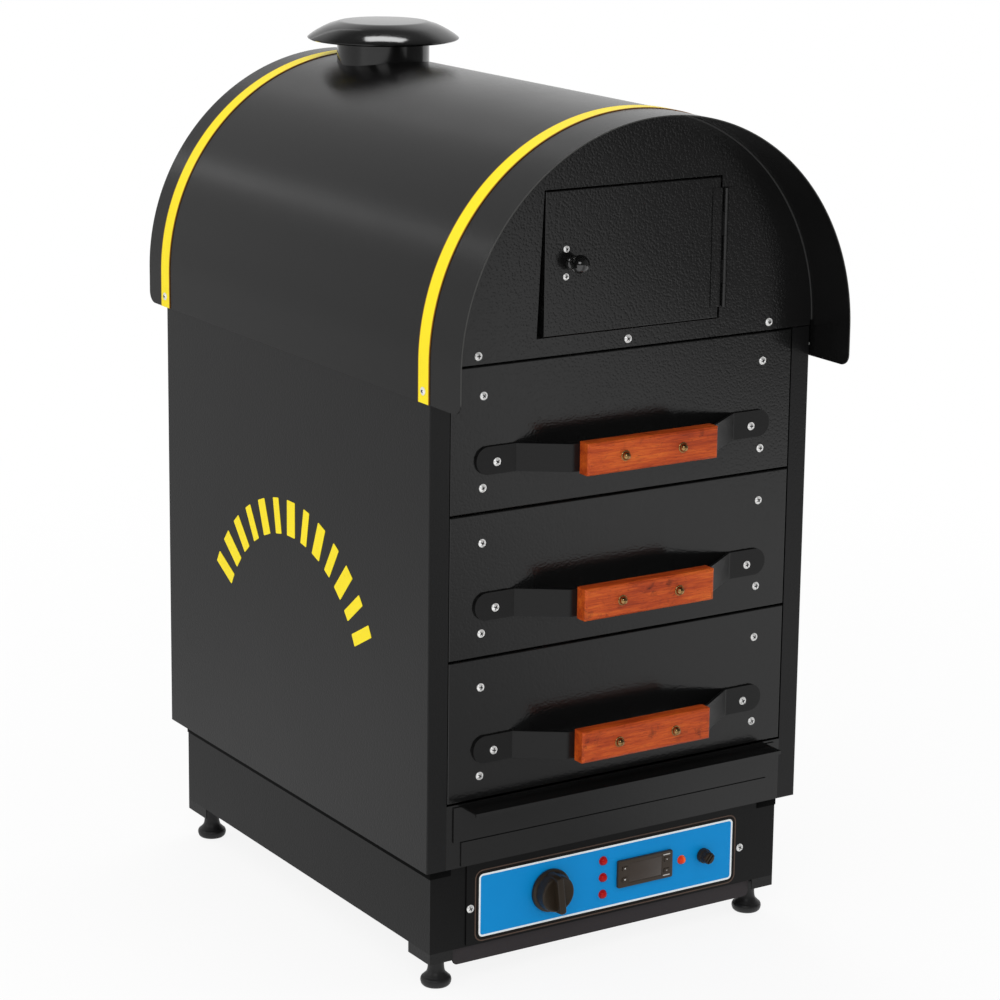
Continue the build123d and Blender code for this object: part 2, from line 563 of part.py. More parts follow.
with BuildPart() as floor_panel:
    slab(-INSIDE_X, INSIDE_X, FRAME_Y + SHEET, BACK_Y - SHEET, BODY_Z, BODY_Z + SHEET)
    front_x = POST_X - SHEET
    slab(-front_x, front_x, FRONT_Y, FRAME_Y + SHEET, BODY_Z, BODY_Z + SHEET)
    slab(-front_x, front_x, FRONT_Y, FRONT_Y + SHEET, BODY_Z, DRAWER_Z - FRONT_GAP / 2)
    slab(-STRIP_HALF_WIDTH, STRIP_HALF_WIDTH, FRONT_Y - SHEET, FRONT_Y, BODY_Z + SHEET, BODY_Z + STRIP_HEIGHT)
    opening_x = BOX_HALF_WIDTH + TRAY_FLANGE + TRAY_OPENING_GAP
    slab(-opening_x, opening_x, FRONT_Y - 1, FRONT_Y + 2 * SHEET, TRAY_OPENING_Z,
         TRAY_FRONT_TOP - TRAY_FRONT_LAP, Mode.SUBTRACT)
floor_panel.part.label = "floor_panel"
export_step(floor_panel.part, "parts/floor_panel.step")

with BuildPart() as front_frame:
    slab(-INSIDE_X, INSIDE_X, FRAME_Y, FRAME_Y + SHEET, BODY_Z + SHEET, SEAM_Z)
    for level in range(DRAWER_COUNT):
        cell_z = DRAWER_Z + level * DRAWER_PITCH
        slab(-FRAME_OPENING_HALF, FRAME_OPENING_HALF, FRAME_Y - 1, FRAME_Y + 2 * SHEET,
             cell_z + FRAME_RAIL, cell_z + DRAWER_PITCH - FRAME_RAIL, Mode.SUBTRACT)
    slab(-FRAME_OPENING_HALF, FRAME_OPENING_HALF, FRAME_Y - 1, FRAME_Y + 2 * SHEET,
         LINER_Z + SHEET, DRAWER_Z - FRAME_TRAY_GAP, Mode.SUBTRACT)
front_frame.part.label = "front_frame"
export_step(front_frame.part, "parts/front_frame.step")

with BuildPart() as arched_front:
    with BuildSketch(facing(FRONT_Y + SHEET)):
        arch_outline(ARCH_RADIUS, HALF_WIDTH, SEAM_Z + FRONT_GAP / 2)
        with BuildLine():
            Polyline((DOOR_LEFT - DOOR_GAP, DOOR_Z + DOOR_HEIGHT + DOOR_GAP),
                     (DOOR_RIGHT + DOOR_GAP, DOOR_Z + DOOR_HEIGHT + DOOR_GAP),
                     (DOOR_RIGHT + DOOR_GAP, DOOR_Z - DOOR_GAP / 2),
                     (DOOR_LEFT - DOOR_WIDE_GAP, DOOR_Z - DOOR_GAP / 2), close=True)
        make_face(mode=Mode.SUBTRACT)
        with Locations(*ARCH_SCREWS):
            Circle(SCREW_HOLE_RADIUS, mode=Mode.SUBTRACT)
    extrude(amount=SHEET)
    with BuildSketch(facing(FRONT_Y + SHEET)):
        with Locations((0, HOOD_Z)):
            Circle(ARCH_RADIUS)
            Circle(ARCH_RADIUS - SHEET, mode=Mode.SUBTRACT)
        with Locations((0, HOOD_Z - ARCH_RADIUS)):
            Rectangle(2 * ARCH_RADIUS + 2, 2 * ARCH_RADIUS, mode=Mode.SUBTRACT)
    extrude(amount=-ARCH_RIM_DEPTH)
    slab(-INSIDE_X, INSIDE_X, FRONT_Y, FRAME_Y + SHEET, SEAM_Z + FRONT_GAP / 2, SEAM_Z + FRONT_GAP / 2 + SHEET)
arched_front.part.label = "arched_front"
export_step(arched_front.part, "parts/arched_front.step")

# ---------------------------------------------------------------- oven chamber
ELEMENT_LEVELS = [DRAWER_Z + level * DRAWER_PITCH + ELEMENT_RISE for level in range(DRAWER_COUNT)]
PROBE_X = LINER_HALF_WIDTH - PROBE_INSET
PROBE_Z = DRAWER_Z + (DRAWER_COUNT - 1) * DRAWER_PITCH - PROBE_DROP

with BuildPart() as oven_liner:
    slab(-LINER_HALF_WIDTH - SHEET, LINER_HALF_WIDTH + SHEET, LINER_Y, LINER_BACK_Y, LINER_Z, LINER_TOP_Z)
    slab(-LINER_HALF_WIDTH, LINER_HALF_WIDTH, LINER_Y - 1, LINER_BACK_Y - SHEET, LINER_Z + SHEET,
         LINER_TOP_Z - SHEET, Mode.SUBTRACT)
    with BuildSketch(facing(LINER_BACK_Y)):
        with Locations(*[(side * ELEMENT_HALF_WIDTH, level) for side in (-1, 1) for level in ELEMENT_LEVELS]):
            Circle(ELEMENT_RADIUS + HOLE_CLEARANCE)
        with Locations((PROBE_X, PROBE_Z)):
            Circle(PROBE_RADIUS + HOLE_CLEARANCE)
    extrude(amount=SHEET, mode=Mode.SUBTRACT)
    with BuildSketch(Plane.XY.offset(LINER_TOP_Z)):
        with Locations((0, FLUE_Y - LINER_SLOT_SETBACK)):
            with GridLocations(LINER_SLOT_PITCH, 0, LINER_SLOT_COUNT, 1):
                SlotOverall(*LINER_SLOT, rotation=90)
    extrude(amount=-SHEET, mode=Mode.SUBTRACT)
oven_liner.part.label = "oven_liner"
export_step(oven_liner.part, "parts/oven_liner.step")

TRAY_Z = TRAY_OPENING_Z + TRAY_FOOT_GAP
BOX_TOPS = [DRAWER_Z + level * DRAWER_PITCH + BOX_FOOT_RISE + BOX_HEIGHT for level in range(DRAWER_COUNT)]
RUNNER_TOPS = [top - SHEET - RUNNING_GAP for top in (TRAY_Z + TRAY_HEIGHT, *BOX_TOPS)]

with BuildPart() as drawer_runners:
    for side in (-1, 1):
        for runner_z in RUNNER_TOPS:
            post_x = sorted((side * (LINER_HALF_WIDTH - RUNNER_SHEET), side * LINER_HALF_WIDTH))
            slab(*post_x, LINER_Y, LINER_BACK_Y - SHEET, runner_z - RUNNER_HEIGHT, runner_z)
            leg_x = sorted((side * RUNNER_INNER_X, side * LINER_HALF_WIDTH))
            slab(*leg_x, LINER_Y, LINER_BACK_Y - SHEET, runner_z - RUNNER_SHEET, runner_z)
drawer_runners.part.label = "drawer_runners"
export_step(drawer_runners.part, "parts/drawer_runners.step")

with BuildPart() as insulation_blanket:
    wool_in = LINER_HALF_WIDTH + SHEET + INSULATION_GAP
    wool_out = INSIDE_X - INSULATION_GAP
    wool_back = BACK_Y - SHEET - INSULATION_BACK_GAP
    slab(-wool_out, wool_out, LINER_Y + INSULATION_GAP, wool_back, LINER_Z, LINER_TOP_Z)
    slab(-wool_in, wool_in, LINER_Y - 1, LINER_BACK_Y + INSULATION_GAP, LINER_Z - 1, LINER_TOP_Z + 1,
         Mode.SUBTRACT)
    for level in (*ELEMENT_LEVELS, PROBE_Z):
        slab(-ELEMENT_HALF_WIDTH - WOOL_NOTCH_SIDE, PROBE_X + WOOL_NOTCH_SIDE, LINER_BACK_Y,
             LINER_BACK_Y + ELEMENT_TAIL + WOOL_NOTCH_REAR, level - WOOL_NOTCH_HALF, level + WOOL_NOTCH_HALF,
             Mode.SUBTRACT)
insulation_blanket.part.label = "insulation_blanket"
export_step(insulation_blanket.part, "parts/insulation_blanket.step")

with BuildPart() as heating_elements:
    for level in ELEMENT_LEVELS:
        tail_y = LINER_BACK_Y + ELEMENT_TAIL
        bend_y = LINER_Y + ELEMENT_FRONT_SETBACK
        with BuildLine(Plane.XY.offset(level)) as element_path:
            FilletPolyline((-ELEMENT_HALF_WIDTH, tail_y), (-ELEMENT_HALF_WIDTH, bend_y),
                           (ELEMENT_HALF_WIDTH, bend_y), (ELEMENT_HALF_WIDTH, tail_y), radius=ELEMENT_BEND)
        with BuildSketch(Plane((-ELEMENT_HALF_WIDTH, tail_y, level), x_dir=(1, 0, 0), z_dir=(0, -1, 0))):
            Circle(ELEMENT_RADIUS)
        sweep(path=element_path.line)
heating_elements.part.label = "heating_elements"
export_step(heating_elements.part, "parts/heating_elements.step")

with BuildPart() as temperature_probe:
    with BuildSketch(facing(LINER_BACK_Y + ELEMENT_TAIL)):
        with Locations((PROBE_X, PROBE_Z)):
            Circle(PROBE_RADIUS)
    extrude(amount=PROBE_LENGTH)
    fillet(temperature_probe.faces().sort_by(Axis.Y)[0].edges(), PROBE_TIP)
temperature_probe.part.label = "temperature_probe"
export_step(temperature_probe.part, "parts/temperature_probe.step")

# ---------------------------------------------------------------- warming compartment
with BuildPart() as warming_deck:
    deck_y = FRAME_Y + SHEET
    slab(-INSIDE_X, INSIDE_X, FRONT_Y + SHEET, BACK_Y - SHEET, DECK_Z - SHEET, DECK_Z)
    for side in (-1, 1):
        leg_x = sorted((side * (INSIDE_X - SHEET), side * INSIDE_X))
        slab(*leg_x, deck_y, BACK_Y - SHEET, SEAM_Z + FRONT_GAP / 2 + SHEET, DECK_Z)
    with BuildSketch(Plane.XY.offset(DECK_Z)):
        with GridLocations(*DECK_HOLE_PITCH, *DECK_HOLE_COUNT):
            Circle(DECK_HOLE_RADIUS)
    extrude(amount=-SHEET, mode=Mode.SUBTRACT)
warming_deck.part.label = "warming_deck"
export_step(warming_deck.part, "parts/warming_deck.step")

with BuildPart() as warming_liner:
    with BuildSketch(facing(BACK_Y - SHEET)):
        with Locations((0, HOOD_Z)):
            Circle(WARMING_RADIUS)
            Circle(WARMING_RADIUS - SHEET, mode=Mode.SUBTRACT)
        with Locations((0, DECK_Z - WARMING_RADIUS)):
            Rectangle(3 * WARMING_RADIUS, 2 * WARMING_RADIUS, mode=Mode.SUBTRACT)
    extrude(amount=BODY_DEPTH - 2 * SHEET)
    with BuildSketch(Plane.XY.offset(HOOD_Z)):
        with Locations((0, FLUE_Y)):
            Circle(FLUE_RADIUS + HOLE_CLEARANCE)
    extrude(amount=HOOD_RADIUS, mode=Mode.SUBTRACT)
warming_liner.part.label = "warming_liner"
export_step(warming_liner.part, "parts/warming_liner.step")

# ---------------------------------------------------------------- hood, its strips and the flue
with BuildPart() as hood:
    with BuildSketch(facing(HOOD_LENGTH / 2)):
        arch_outline(HOOD_RADIUS, HOOD_RADIUS, HOOD_Z - HOOD_SKIRT)
        with Locations((0, HOOD_Z)):
            Circle(HOOD_RADIUS - HOOD_SHEET, mode=Mode.SUBTRACT)
        with Locations((0, HOOD_Z - HOOD_SKIRT)):
            Rectangle(2 * (HOOD_RADIUS - HOOD_SHEET), 2 * HOOD_SKIRT, mode=Mode.SUBTRACT)
    extrude(amount=HOOD_LENGTH)
    skirt_corners = hood.edges().filter_by(Axis.X).filter_by(
        lambda edge: abs(edge.length - HOOD_SHEET) < 0.1 and edge.center().Z < HOOD_Z - HOOD_SKIRT + 1)
    fillet(skirt_corners, HOOD_CORNER_RADIUS)
    with BuildSketch(Plane.XY.offset(HOOD_Z)):
        with Locations((0, FLUE_Y)):
            Circle(FLUE_RADIUS + HOLE_CLEARANCE)
    extrude(amount=2 * HOOD_RADIUS, mode=Mode.SUBTRACT)
    for trim_y in TRIM_Y:
        with BuildSketch(Plane((0, trim_y, TRIM_SCREW_Z), x_dir=(0, 1, 0), z_dir=(1, 0, 0))):
            Circle(SCREW_HOLE_RADIUS)
        extrude(amount=2 * HOOD_RADIUS, both=True, mode=Mode.SUBTRACT)
hood.part.label = "hood"
export_step(hood.part, "parts/hood.step")

with BuildPart() as hood_trims:
    for trim_y in TRIM_Y:
        with BuildSketch(facing(trim_y + TRIM_WIDTH / 2)):
            arch_outline(HOOD_RADIUS + TRIM_THICKNESS, HOOD_RADIUS + TRIM_THICKNESS, HOOD_Z - HOOD_SKIRT)
            with Locations((0, HOOD_Z)):
                Circle(HOOD_RADIUS, mode=Mode.SUBTRACT)
            with Locations((0, HOOD_Z - HOOD_SKIRT)):
                Rectangle(2 * HOOD_RADIUS, 2 * HOOD_SKIRT, mode=Mode.SUBTRACT)
        extrude(amount=TRIM_WIDTH)
        with BuildSketch(Plane((0, trim_y, TRIM_SCREW_Z), x_dir=(0, 1, 0), z_dir=(1, 0, 0))):
            Circle(SCREW_HOLE_RADIUS)
        extrude(amount=2 * HOOD_RADIUS, both=True, mode=Mode.SUBTRACT)
hood_trims.part.label = "hood_trims"
export_step(hood_trims.part, "parts/hood_trims.step")

with BuildPart() as flue_pipe:
    with BuildSketch(Plane.XY.offset(FLUE_FOOT_Z)):
        with Locations((0, FLUE_Y)):
            Circle(FLUE_RADIUS)
            Circle(FLUE_RADIUS - FLUE_WALL, mode=Mode.SUBTRACT)
    extrude(amount=CROWN_Z + FLUE_RISE - FLUE_FOOT_Z)
flue_pipe.part.label = "flue_pipe"
export_step(flue_pipe.part, "parts/flue_pipe.step")

with BuildPart() as flue_cap:
    rim_z = CROWN_Z + CAP_RIM_RISE
    cap_z = rim_z + CAP_HEIGHT
    brow_x, brow_z = CAP_RADIUS - CAP_BROW, rim_z + CAP_BROW_RISE
    shoulder_x, shoulder_z = CAP_TOP_RADIUS + CAP_SHOULDER, rim_z + CAP_HEIGHT * CAP_SHOULDER_SHARE
    with BuildSketch(Plane.XZ.offset(-FLUE_Y)):
        with BuildLine():
            Line((0, cap_z), (CAP_TOP_RADIUS, cap_z))
            ThreePointArc((CAP_TOP_RADIUS, cap_z), (shoulder_x, shoulder_z), (brow_x, brow_z))
            ThreePointArc((brow_x, brow_z), (CAP_RADIUS - 2 * CAP_SHEET, brow_z - CAP_SHEET),
                          (CAP_RADIUS, rim_z + CAP_RIM_EDGE))
            Polyline((CAP_RADIUS, rim_z + CAP_RIM_EDGE), (CAP_RADIUS, rim_z), (CAP_RADIUS - CAP_SHEET, rim_z))
            ThreePointArc((CAP_RADIUS - CAP_SHEET, rim_z), (CAP_RADIUS - CAP_BROW / 2, rim_z + CAP_RIM_EDGE),
                          (brow_x - CAP_SHEET / 2, brow_z - CAP_SHEET))
            ThreePointArc((brow_x - CAP_SHEET / 2, brow_z - CAP_SHEET),
                          (shoulder_x - CAP_SHEET / 2, shoulder_z - CAP_SHEET),
                          (CAP_TOP_RADIUS, cap_z - CAP_SHEET))
            Polyline((CAP_TOP_RADIUS, cap_z - CAP_SHEET), (0, cap_z - CAP_SHEET), (0, cap_z))
        make_face()
    revolve(axis=Axis((0, FLUE_Y, 0), (0, 0, 1)))
    leg_face = sqrt((FLUE_RADIUS - FLUE_WALL - HOLE_CLEARANCE) ** 2 - (CAP_LEG_WIDTH / 2) ** 2)
    leg_foot = CROWN_Z + FLUE_RISE - CAP_LEG_DEPTH
    for leg in range(CAP_LEGS):
        leg_turn = radians(360 * leg / CAP_LEGS)
        leg_plane = Plane((0, FLUE_Y, leg_foot), x_dir=(cos(leg_turn), sin(leg_turn), 0))
        with BuildSketch(leg_plane):
            with Locations((leg_face - CAP_SHEET / 2, 0)):
                Rectangle(CAP_SHEET, CAP_LEG_WIDTH)
        extrude(until=Until.NEXT, mode=Mode.ADD)
flue_cap.part.label = "flue_cap"
export_step(flue_cap.part, "parts/flue_cap.step")

# ---------------------------------------------------------------- small door in the arched front
HINGE_X = DOOR_RIGHT + DOOR_GAP + HINGE_PIN_RADIUS + HINGE_LEAF_SHEET + HINGE_SIDE_GAP
HINGE_Y = FRONT_Y - HINGE_PIN_RADIUS - HINGE_LEAF_SHEET - HINGE_FRONT_GAP
HINGE_Z = DOOR_Z + (DOOR_HEIGHT - HINGE_LENGTH) / 2
KNUCKLE_HEIGHT = HINGE_LENGTH / HINGE_KNUCKLES
KNUCKLE_RADIUS = HINGE_PIN_RADIUS + HINGE_LEAF_SHEET

with BuildPart() as door_panel:
    slab(DOOR_LEFT, DOOR_RIGHT, FRONT_Y, FRONT_Y + DOOR_DEPTH, DOOR_Z, DOOR_Z + DOOR_HEIGHT)
    slab(DOOR_LEFT + SHEET, DOOR_RIGHT - SHEET, FRONT_Y + SHEET, FRONT_Y + DOOR_DEPTH + 1, DOOR_Z + SHEET,
         DOOR_Z + DOOR_HEIGHT - SHEET, Mode.SUBTRACT)
    fillet(door_panel.faces().sort_by(Axis.Y)[0].edges(), CORNER_RADIUS)
    with BuildSketch(facing(FRONT_Y)):
        with Locations((DOOR_KNOB_X, DOOR_MIDDLE_Z)):
            Circle(SCREW_HOLE_RADIUS)
            with Locations((CATCH_OFFSET, CATCH_SCREW_RISE), (CATCH_OFFSET, -CATCH_SCREW_RISE)):
                Circle(SCREW_HOLE_RADIUS)
    extrude(amount=-SHEET, mode=Mode.SUBTRACT)
door_panel.part.label = "door_panel"
export_step(door_panel.part, "parts/door_panel.step")

with BuildPart() as door_knob:
    Cylinder(SCREW_SHANK_RADIUS, DOOR_KNOB_STUD, align=(Align.CENTER, Align.CENTER, Align.MAX))
    Cylinder(*DOOR_KNOB_FLANGE, align=(Align.CENTER, Align.CENTER, Align.MIN))
    Cone(*DOOR_KNOB_NECK, DOOR_KNOB_REACH / 2, align=(Align.CENTER, Align.CENTER, Align.MIN))
    with Locations((0, 0, DOOR_KNOB_REACH - DOOR_KNOB_RADIUS)):
        Sphere(DOOR_KNOB_RADIUS)
ball_knob = door_knob.part.moved(Location((DOOR_KNOB_X, FRONT_Y, DOOR_MIDDLE_Z), (90, 0, 0)))
ball_knob.label = "door_knob"
export_step(ball_knob, "parts/door_knob.step")

with BuildPart() as door_catch:
    catch_x, catch_y = DOOR_KNOB_X + CATCH_OFFSET, FRONT_Y + SHEET
    with BuildSketch(facing(catch_y)):
        with Locations((catch_x, DOOR_MIDDLE_Z)):
            Rectangle(CATCH_WIDTH, CATCH_HEIGHT)
            Circle(CATCH_BORE, mode=Mode.SUBTRACT)
    extrude(amount=-CATCH_THICKNESS)
    for screw_z in (DOOR_MIDDLE_Z - CATCH_SCREW_RISE, DOOR_MIDDLE_Z + CATCH_SCREW_RISE):
        with BuildSketch(facing(catch_y)):
            with Locations((catch_x, screw_z)):
                Circle(SCREW_SHANK_RADIUS)
        extrude(amount=SHEET)
        with BuildSketch(facing(FRONT_Y)):
            with Locations((catch_x, screw_z)):
                Circle(SCREW_HEAD_RADIUS * CATCH_SCREW_SCALE)
        extrude(amount=SCREW_HEAD_HEIGHT * CATCH_SCREW_SCALE)
door_catch.part.label = "door_catch"
export_step(door_catch.part, "parts/door_catch.step")


def hinge_half(own_rows, plate_x, pinned):
    """Return one leaf of the butt hinge: knuckles in own_rows, a plate on the front, a pin if pinned."""
    with BuildPart() as half:
        for row in own_rows:
            row_z = HINGE_Z + row * KNUCKLE_HEIGHT + RUNNING_GAP / 2
            row_height = KNUCKLE_HEIGHT - RUNNING_GAP
            with BuildSketch(Plane((HINGE_X, HINGE_Y, row_z))):
                Circle(KNUCKLE_RADIUS)
            extrude(amount=row_height)
            low_x, high_x = sorted((HINGE_X, plate_x))
            slab(low_x, high_x, HINGE_Y, HINGE_Y + KNUCKLE_RADIUS, row_z, row_z + row_height)
        far_x = plate_x + (HINGE_LEAF_WIDTH if plate_x > HINGE_X else -HINGE_LEAF_WIDTH)
        low_x, high_x = sorted((plate_x, far_x))
        slab(low_x, high_x, FRONT_Y - HINGE_LEAF_SHEET, FRONT_Y, HINGE_Z, HINGE_Z + HINGE_LENGTH)
        with BuildSketch(Plane((HINGE_X, HINGE_Y, HINGE_Z))):
            Circle(HINGE_PIN_RADIUS if pinned else HINGE_PIN_RADIUS + SHAFT_CLEARANCE)
        extrude(amount=HINGE_LENGTH, mode=Mode.ADD if pinned else Mode.SUBTRACT)
    return half.part


HINGE_SIDE = KNUCKLE_RADIUS + HINGE_LEAF_GAP
frame_leaf = hinge_half(range(0, HINGE_KNUCKLES, 2), HINGE_X + HINGE_SIDE, pinned=True)
frame_leaf.label = "hinge_frame_leaf"
export_step(frame_leaf, "parts/hinge_frame_leaf.step")

door_leaf = hinge_half(range(1, HINGE_KNUCKLES, 2), HINGE_X - HINGE_SIDE, pinned=False)
door_leaf.label = "hinge_door_leaf"
export_step(door_leaf, "parts/hinge_door_leaf.step")


# ---------------------------------------------------------------- drawers
def drawer_front(seam_z):
    """Return the folded front of the drawer whose lower seam is at seam_z."""
    screws_z = (seam_z + FRONT_SCREW_RISE, seam_z + DRAWER_PITCH - FRONT_SCREW_DROP)
    low_z, high_z = seam_z + FRONT_GAP / 2, seam_z + DRAWER_PITCH - FRONT_GAP / 2
    depth_y = FRAME_Y - RUNNING_GAP
    with BuildPart() as front:
        slab(-FRONT_HALF_WIDTH, FRONT_HALF_WIDTH, FRONT_Y, depth_y, low_z, high_z)
        slab(-FRONT_HALF_WIDTH + SHEET, FRONT_HALF_WIDTH - SHEET, FRONT_Y + SHEET, depth_y + 1, low_z + SHEET,
             high_z - SHEET, Mode.SUBTRACT)
        fillet(front.faces().sort_by(Axis.Y)[0].edges(), CORNER_RADIUS)
        with BuildSketch(facing(FRONT_Y)):
            with Locations(*[(side * FRONT_SCREW_X, z) for side in (-1, 1) for z in screws_z]):
                Circle(SCREW_HOLE_RADIUS)
            with Locations(*[(side * HANDLE_SCREW_X, seam_z + HANDLE_SCREW_RISE) for side in (-1, 1)]):
                Circle(SCREW_HOLE_RADIUS)
        extrude(amount=-SHEET, mode=Mode.SUBTRACT)
    return front.part


def drawer_box(seam_z):
    """Return the open box behind a drawer front, with side flanges that ride on the runners."""
    foot_z = seam_z + BOX_FOOT_RISE
    top_z = foot_z + BOX_HEIGHT
    near_y, far_y = FRONT_Y + SHEET, FRONT_Y + SHEET + BOX_DEPTH
    with BuildPart() as box:
        slab(-BOX_HALF_WIDTH, BOX_HALF_WIDTH, near_y, far_y, foot_z, top_z)
        for side in (-1, 1):
            flange_x = sorted((side * (BOX_HALF_WIDTH - SHEET), side * (BOX_HALF_WIDTH + BOX_FLANGE)))
            slab(*flange_x, FRAME_Y + SHEET, far_y, top_z - SHEET, top_z)
        slab(-BOX_HALF_WIDTH + SHEET, BOX_HALF_WIDTH - SHEET, near_y + SHEET, far_y - SHEET, foot_z + SHEET,
             top_z + 1, Mode.SUBTRACT)
        with BuildSketch(Plane.XY.offset(foot_z)):
            with Locations((0, (near_y + far_y) / 2)):
                with GridLocations(VENT_PITCH_X, VENT_PITCH_Y, VENT_COUNT, VENT_COUNT):
                    Circle(VENT_HOLE_RADIUS)
        extrude(amount=SHEET, mode=Mode.SUBTRACT)
        with BuildSketch(facing(near_y)):
            with Locations(*[(side * FRONT_SCREW_X, seam_z + FRONT_SCREW_RISE) for side in (-1, 1)]):
                Circle(SCREW_HOLE_RADIUS)
            with Locations(*[(side * HANDLE_SCREW_X, seam_z + HANDLE_SCREW_RISE) for side in (-1, 1)]):
                Circle(SCREW_HOLE_RADIUS)
        extrude(amount=-SHEET, mode=Mode.SUBTRACT)
    return box.part


def handle_strap(seam_z):
    """Return the bent steel strap that carries the wooden grip."""
    middle_z = seam_z + STRAP_RISE
    face_y = FRONT_Y - STRAP_THICKNESS / 2
    grip_y = FRONT_Y - STRAP_REACH + STRAP_THICKNESS / 2
    route = [(-STRAP_END_X, face_y), (-STRAP_BEND_X, face_y), (-STRAP_STEP_X, grip_y)]
    route += [(-x, y) for x, y in reversed(route)]
    with BuildPart() as strap:
        with BuildSketch(Plane.XY.offset(middle_z - STRAP_HEIGHT / 2)):
            with BuildLine():
                FilletPolyline(*route, radius=STRAP_BEND_RADIUS)
            trace(line_width=STRAP_THICKNESS)
        extrude(amount=STRAP_HEIGHT)
        ends = strap.edges().filter_by(Axis.Y).filter_by(lambda edge: abs(edge.center().X) > STRAP_END_X - 1)
        fillet(ends, STRAP_END_CORNER)
        with BuildSketch(facing(FRONT_Y)):
            with Locations(*[(side * HANDLE_SCREW_X, seam_z + HANDLE_SCREW_RISE) for side in (-1, 1)]):
                Circle(SCREW_HOLE_RADIUS)
            with Locations((-NUT_X, middle_z), (NUT_X, middle_z)):
                Circle(BOLT_RADIUS + HOLE_CLEARANCE)
        extrude(amount=2 * STRAP_REACH, mode=Mode.SUBTRACT)
    return strap.part


def wooden_grip(seam_z):
    """Return the wooden bar with bevelled edges and two bolt holes."""
    middle_z = seam_z + STRAP_RISE
    back_y = FRONT_Y - STRAP_REACH
    with BuildPart() as grip:
        slab(-GRIP_HALF_LENGTH, GRIP_HALF_LENGTH, back_y - GRIP_THICKNESS, back_y,
             middle_z - GRIP_HEIGHT / 2, middle_z + GRIP_HEIGHT / 2)
        chamfer(grip.faces().sort_by(Axis.Y)[0].edges(), GRIP_BEVEL)
        with BuildSketch(facing(back_y)):
            with Locations((-NUT_X, middle_z), (NUT_X, middle_z)):
                Circle(BOLT_RADIUS + HOLE_CLEARANCE)
        extrude(amount=GRIP_THICKNESS, mode=Mode.SUBTRACT)
    return grip.part


def drawer_fasteners(seam_z):
    """Return the front's screws and the grip's bolts with their domed nuts, as loose solids."""
    strap_face = FRONT_Y - STRAP_THICKNESS
    grip_face = FRONT_Y - STRAP_REACH - GRIP_THICKNESS
    strap_back = FRONT_Y - STRAP_REACH + STRAP_THICKNESS
    turn = (90, 0, 0)
    places = [(side * FRONT_SCREW_X, FRONT_Y, z) for side in (-1, 1)
              for z in (seam_z + FRONT_SCREW_RISE, seam_z + DRAWER_PITCH - FRONT_SCREW_DROP)]
    places += [(side * HANDLE_SCREW_X, strap_face, seam_z + HANDLE_SCREW_RISE) for side in (-1, 1)]
    solids = [PAN_HEAD.moved(Location(place, turn)) for place in places]
    shank = strap_back - grip_face
    with BuildPart() as bolt:
        Cylinder(BOLT_RADIUS, shank, align=(Align.CENTER, Align.CENTER, Align.MAX))
        Cylinder(*DOME_WASHER, align=(Align.CENTER, Align.CENTER, Align.MIN))
        Cylinder(DOME_NUT_RADIUS, DOME_SKIRT, align=(Align.CENTER, Align.CENTER, Align.MIN))
        with Locations((0, 0, DOME_FOOT)):
            Sphere(DOME_NUT_HEIGHT - DOME_FOOT, arc_size1=0, align=(Align.CENTER, Align.CENTER, Align.MIN))
        with Locations((0, 0, -shank)):
            Cylinder(DOME_NUT_RADIUS, BOLT_HEAD, align=(Align.CENTER, Align.CENTER, Align.MAX))
    solids += [bolt.part.moved(Location((x, grip_face, seam_z + STRAP_RISE), turn)) for x in (-NUT_X, NUT_X)]
    return Compound(children=solids)


for number in range(1, DRAWER_COUNT + 1):
    seam_z = DRAWER_Z + (DRAWER_COUNT - number) * DRAWER_PITCH
    pieces = {
        "front": drawer_front(seam_z),
        "box": drawer_box(seam_z),
        "handle_strap": handle_strap(seam_z),
        "grip": wooden_grip(seam_z),
        "fasteners": drawer_fasteners(seam_z),
    }
    for piece_name, piece in pieces.items():
        piece.label = f"drawer_{number}_{piece_name}"
        export_step(piece, f"parts/drawer_{number}_{piece_name}.step")

with BuildPart() as crumb_tray:
    tray_y = FRONT_Y - RUNNING_GAP - SHEET
    far_y = FRONT_Y + BOX_DEPTH
    slab(-TRAY_FRONT_HALF_WIDTH, TRAY_FRONT_HALF_WIDTH, tray_y, tray_y + SHEET,
         TRAY_FRONT_TOP - TRAY_FRONT_HEIGHT, TRAY_FRONT_TOP)
    slab(-LEDGE_HALF_WIDTH, LEDGE_HALF_WIDTH, FRONT_Y - LEDGE_REACH, tray_y, TRAY_FRONT_TOP - SHEET,
         TRAY_FRONT_TOP)
    slab(-LEDGE_HALF_WIDTH, LEDGE_HALF_WIDTH, FRONT_Y - LEDGE_REACH, FRONT_Y - LEDGE_REACH + SHEET,
         TRAY_FRONT_TOP - LEDGE_LIP, TRAY_FRONT_TOP)
    slab(-BOX_HALF_WIDTH, BOX_HALF_WIDTH, tray_y, far_y, TRAY_Z, TRAY_Z + TRAY_HEIGHT)
    for side in (-1, 1):
        flange_x = sorted((side * (BOX_HALF_WIDTH - SHEET), side * (BOX_HALF_WIDTH + TRAY_FLANGE)))
        slab(*flange_x, FRAME_Y + SHEET, far_y, TRAY_Z + TRAY_HEIGHT - SHEET, TRAY_Z + TRAY_HEIGHT)
    slab(-BOX_HALF_WIDTH + SHEET, BOX_HALF_WIDTH - SHEET, tray_y + SHEET, far_y - SHEET, TRAY_Z + SHEET,
         TRAY_Z + TRAY_HEIGHT + 1, Mode.SUBTRACT)
crumb_tray.part.label = "crumb_tray"
export_step(crumb_tray.part, "parts/crumb_tray.step")

# ---------------------------------------------------------------- controls
CONTROLLER_CUTOUT = [size + 2 * HOUSING_PLAY for size in CONTROLLER_HOUSING[:2]]

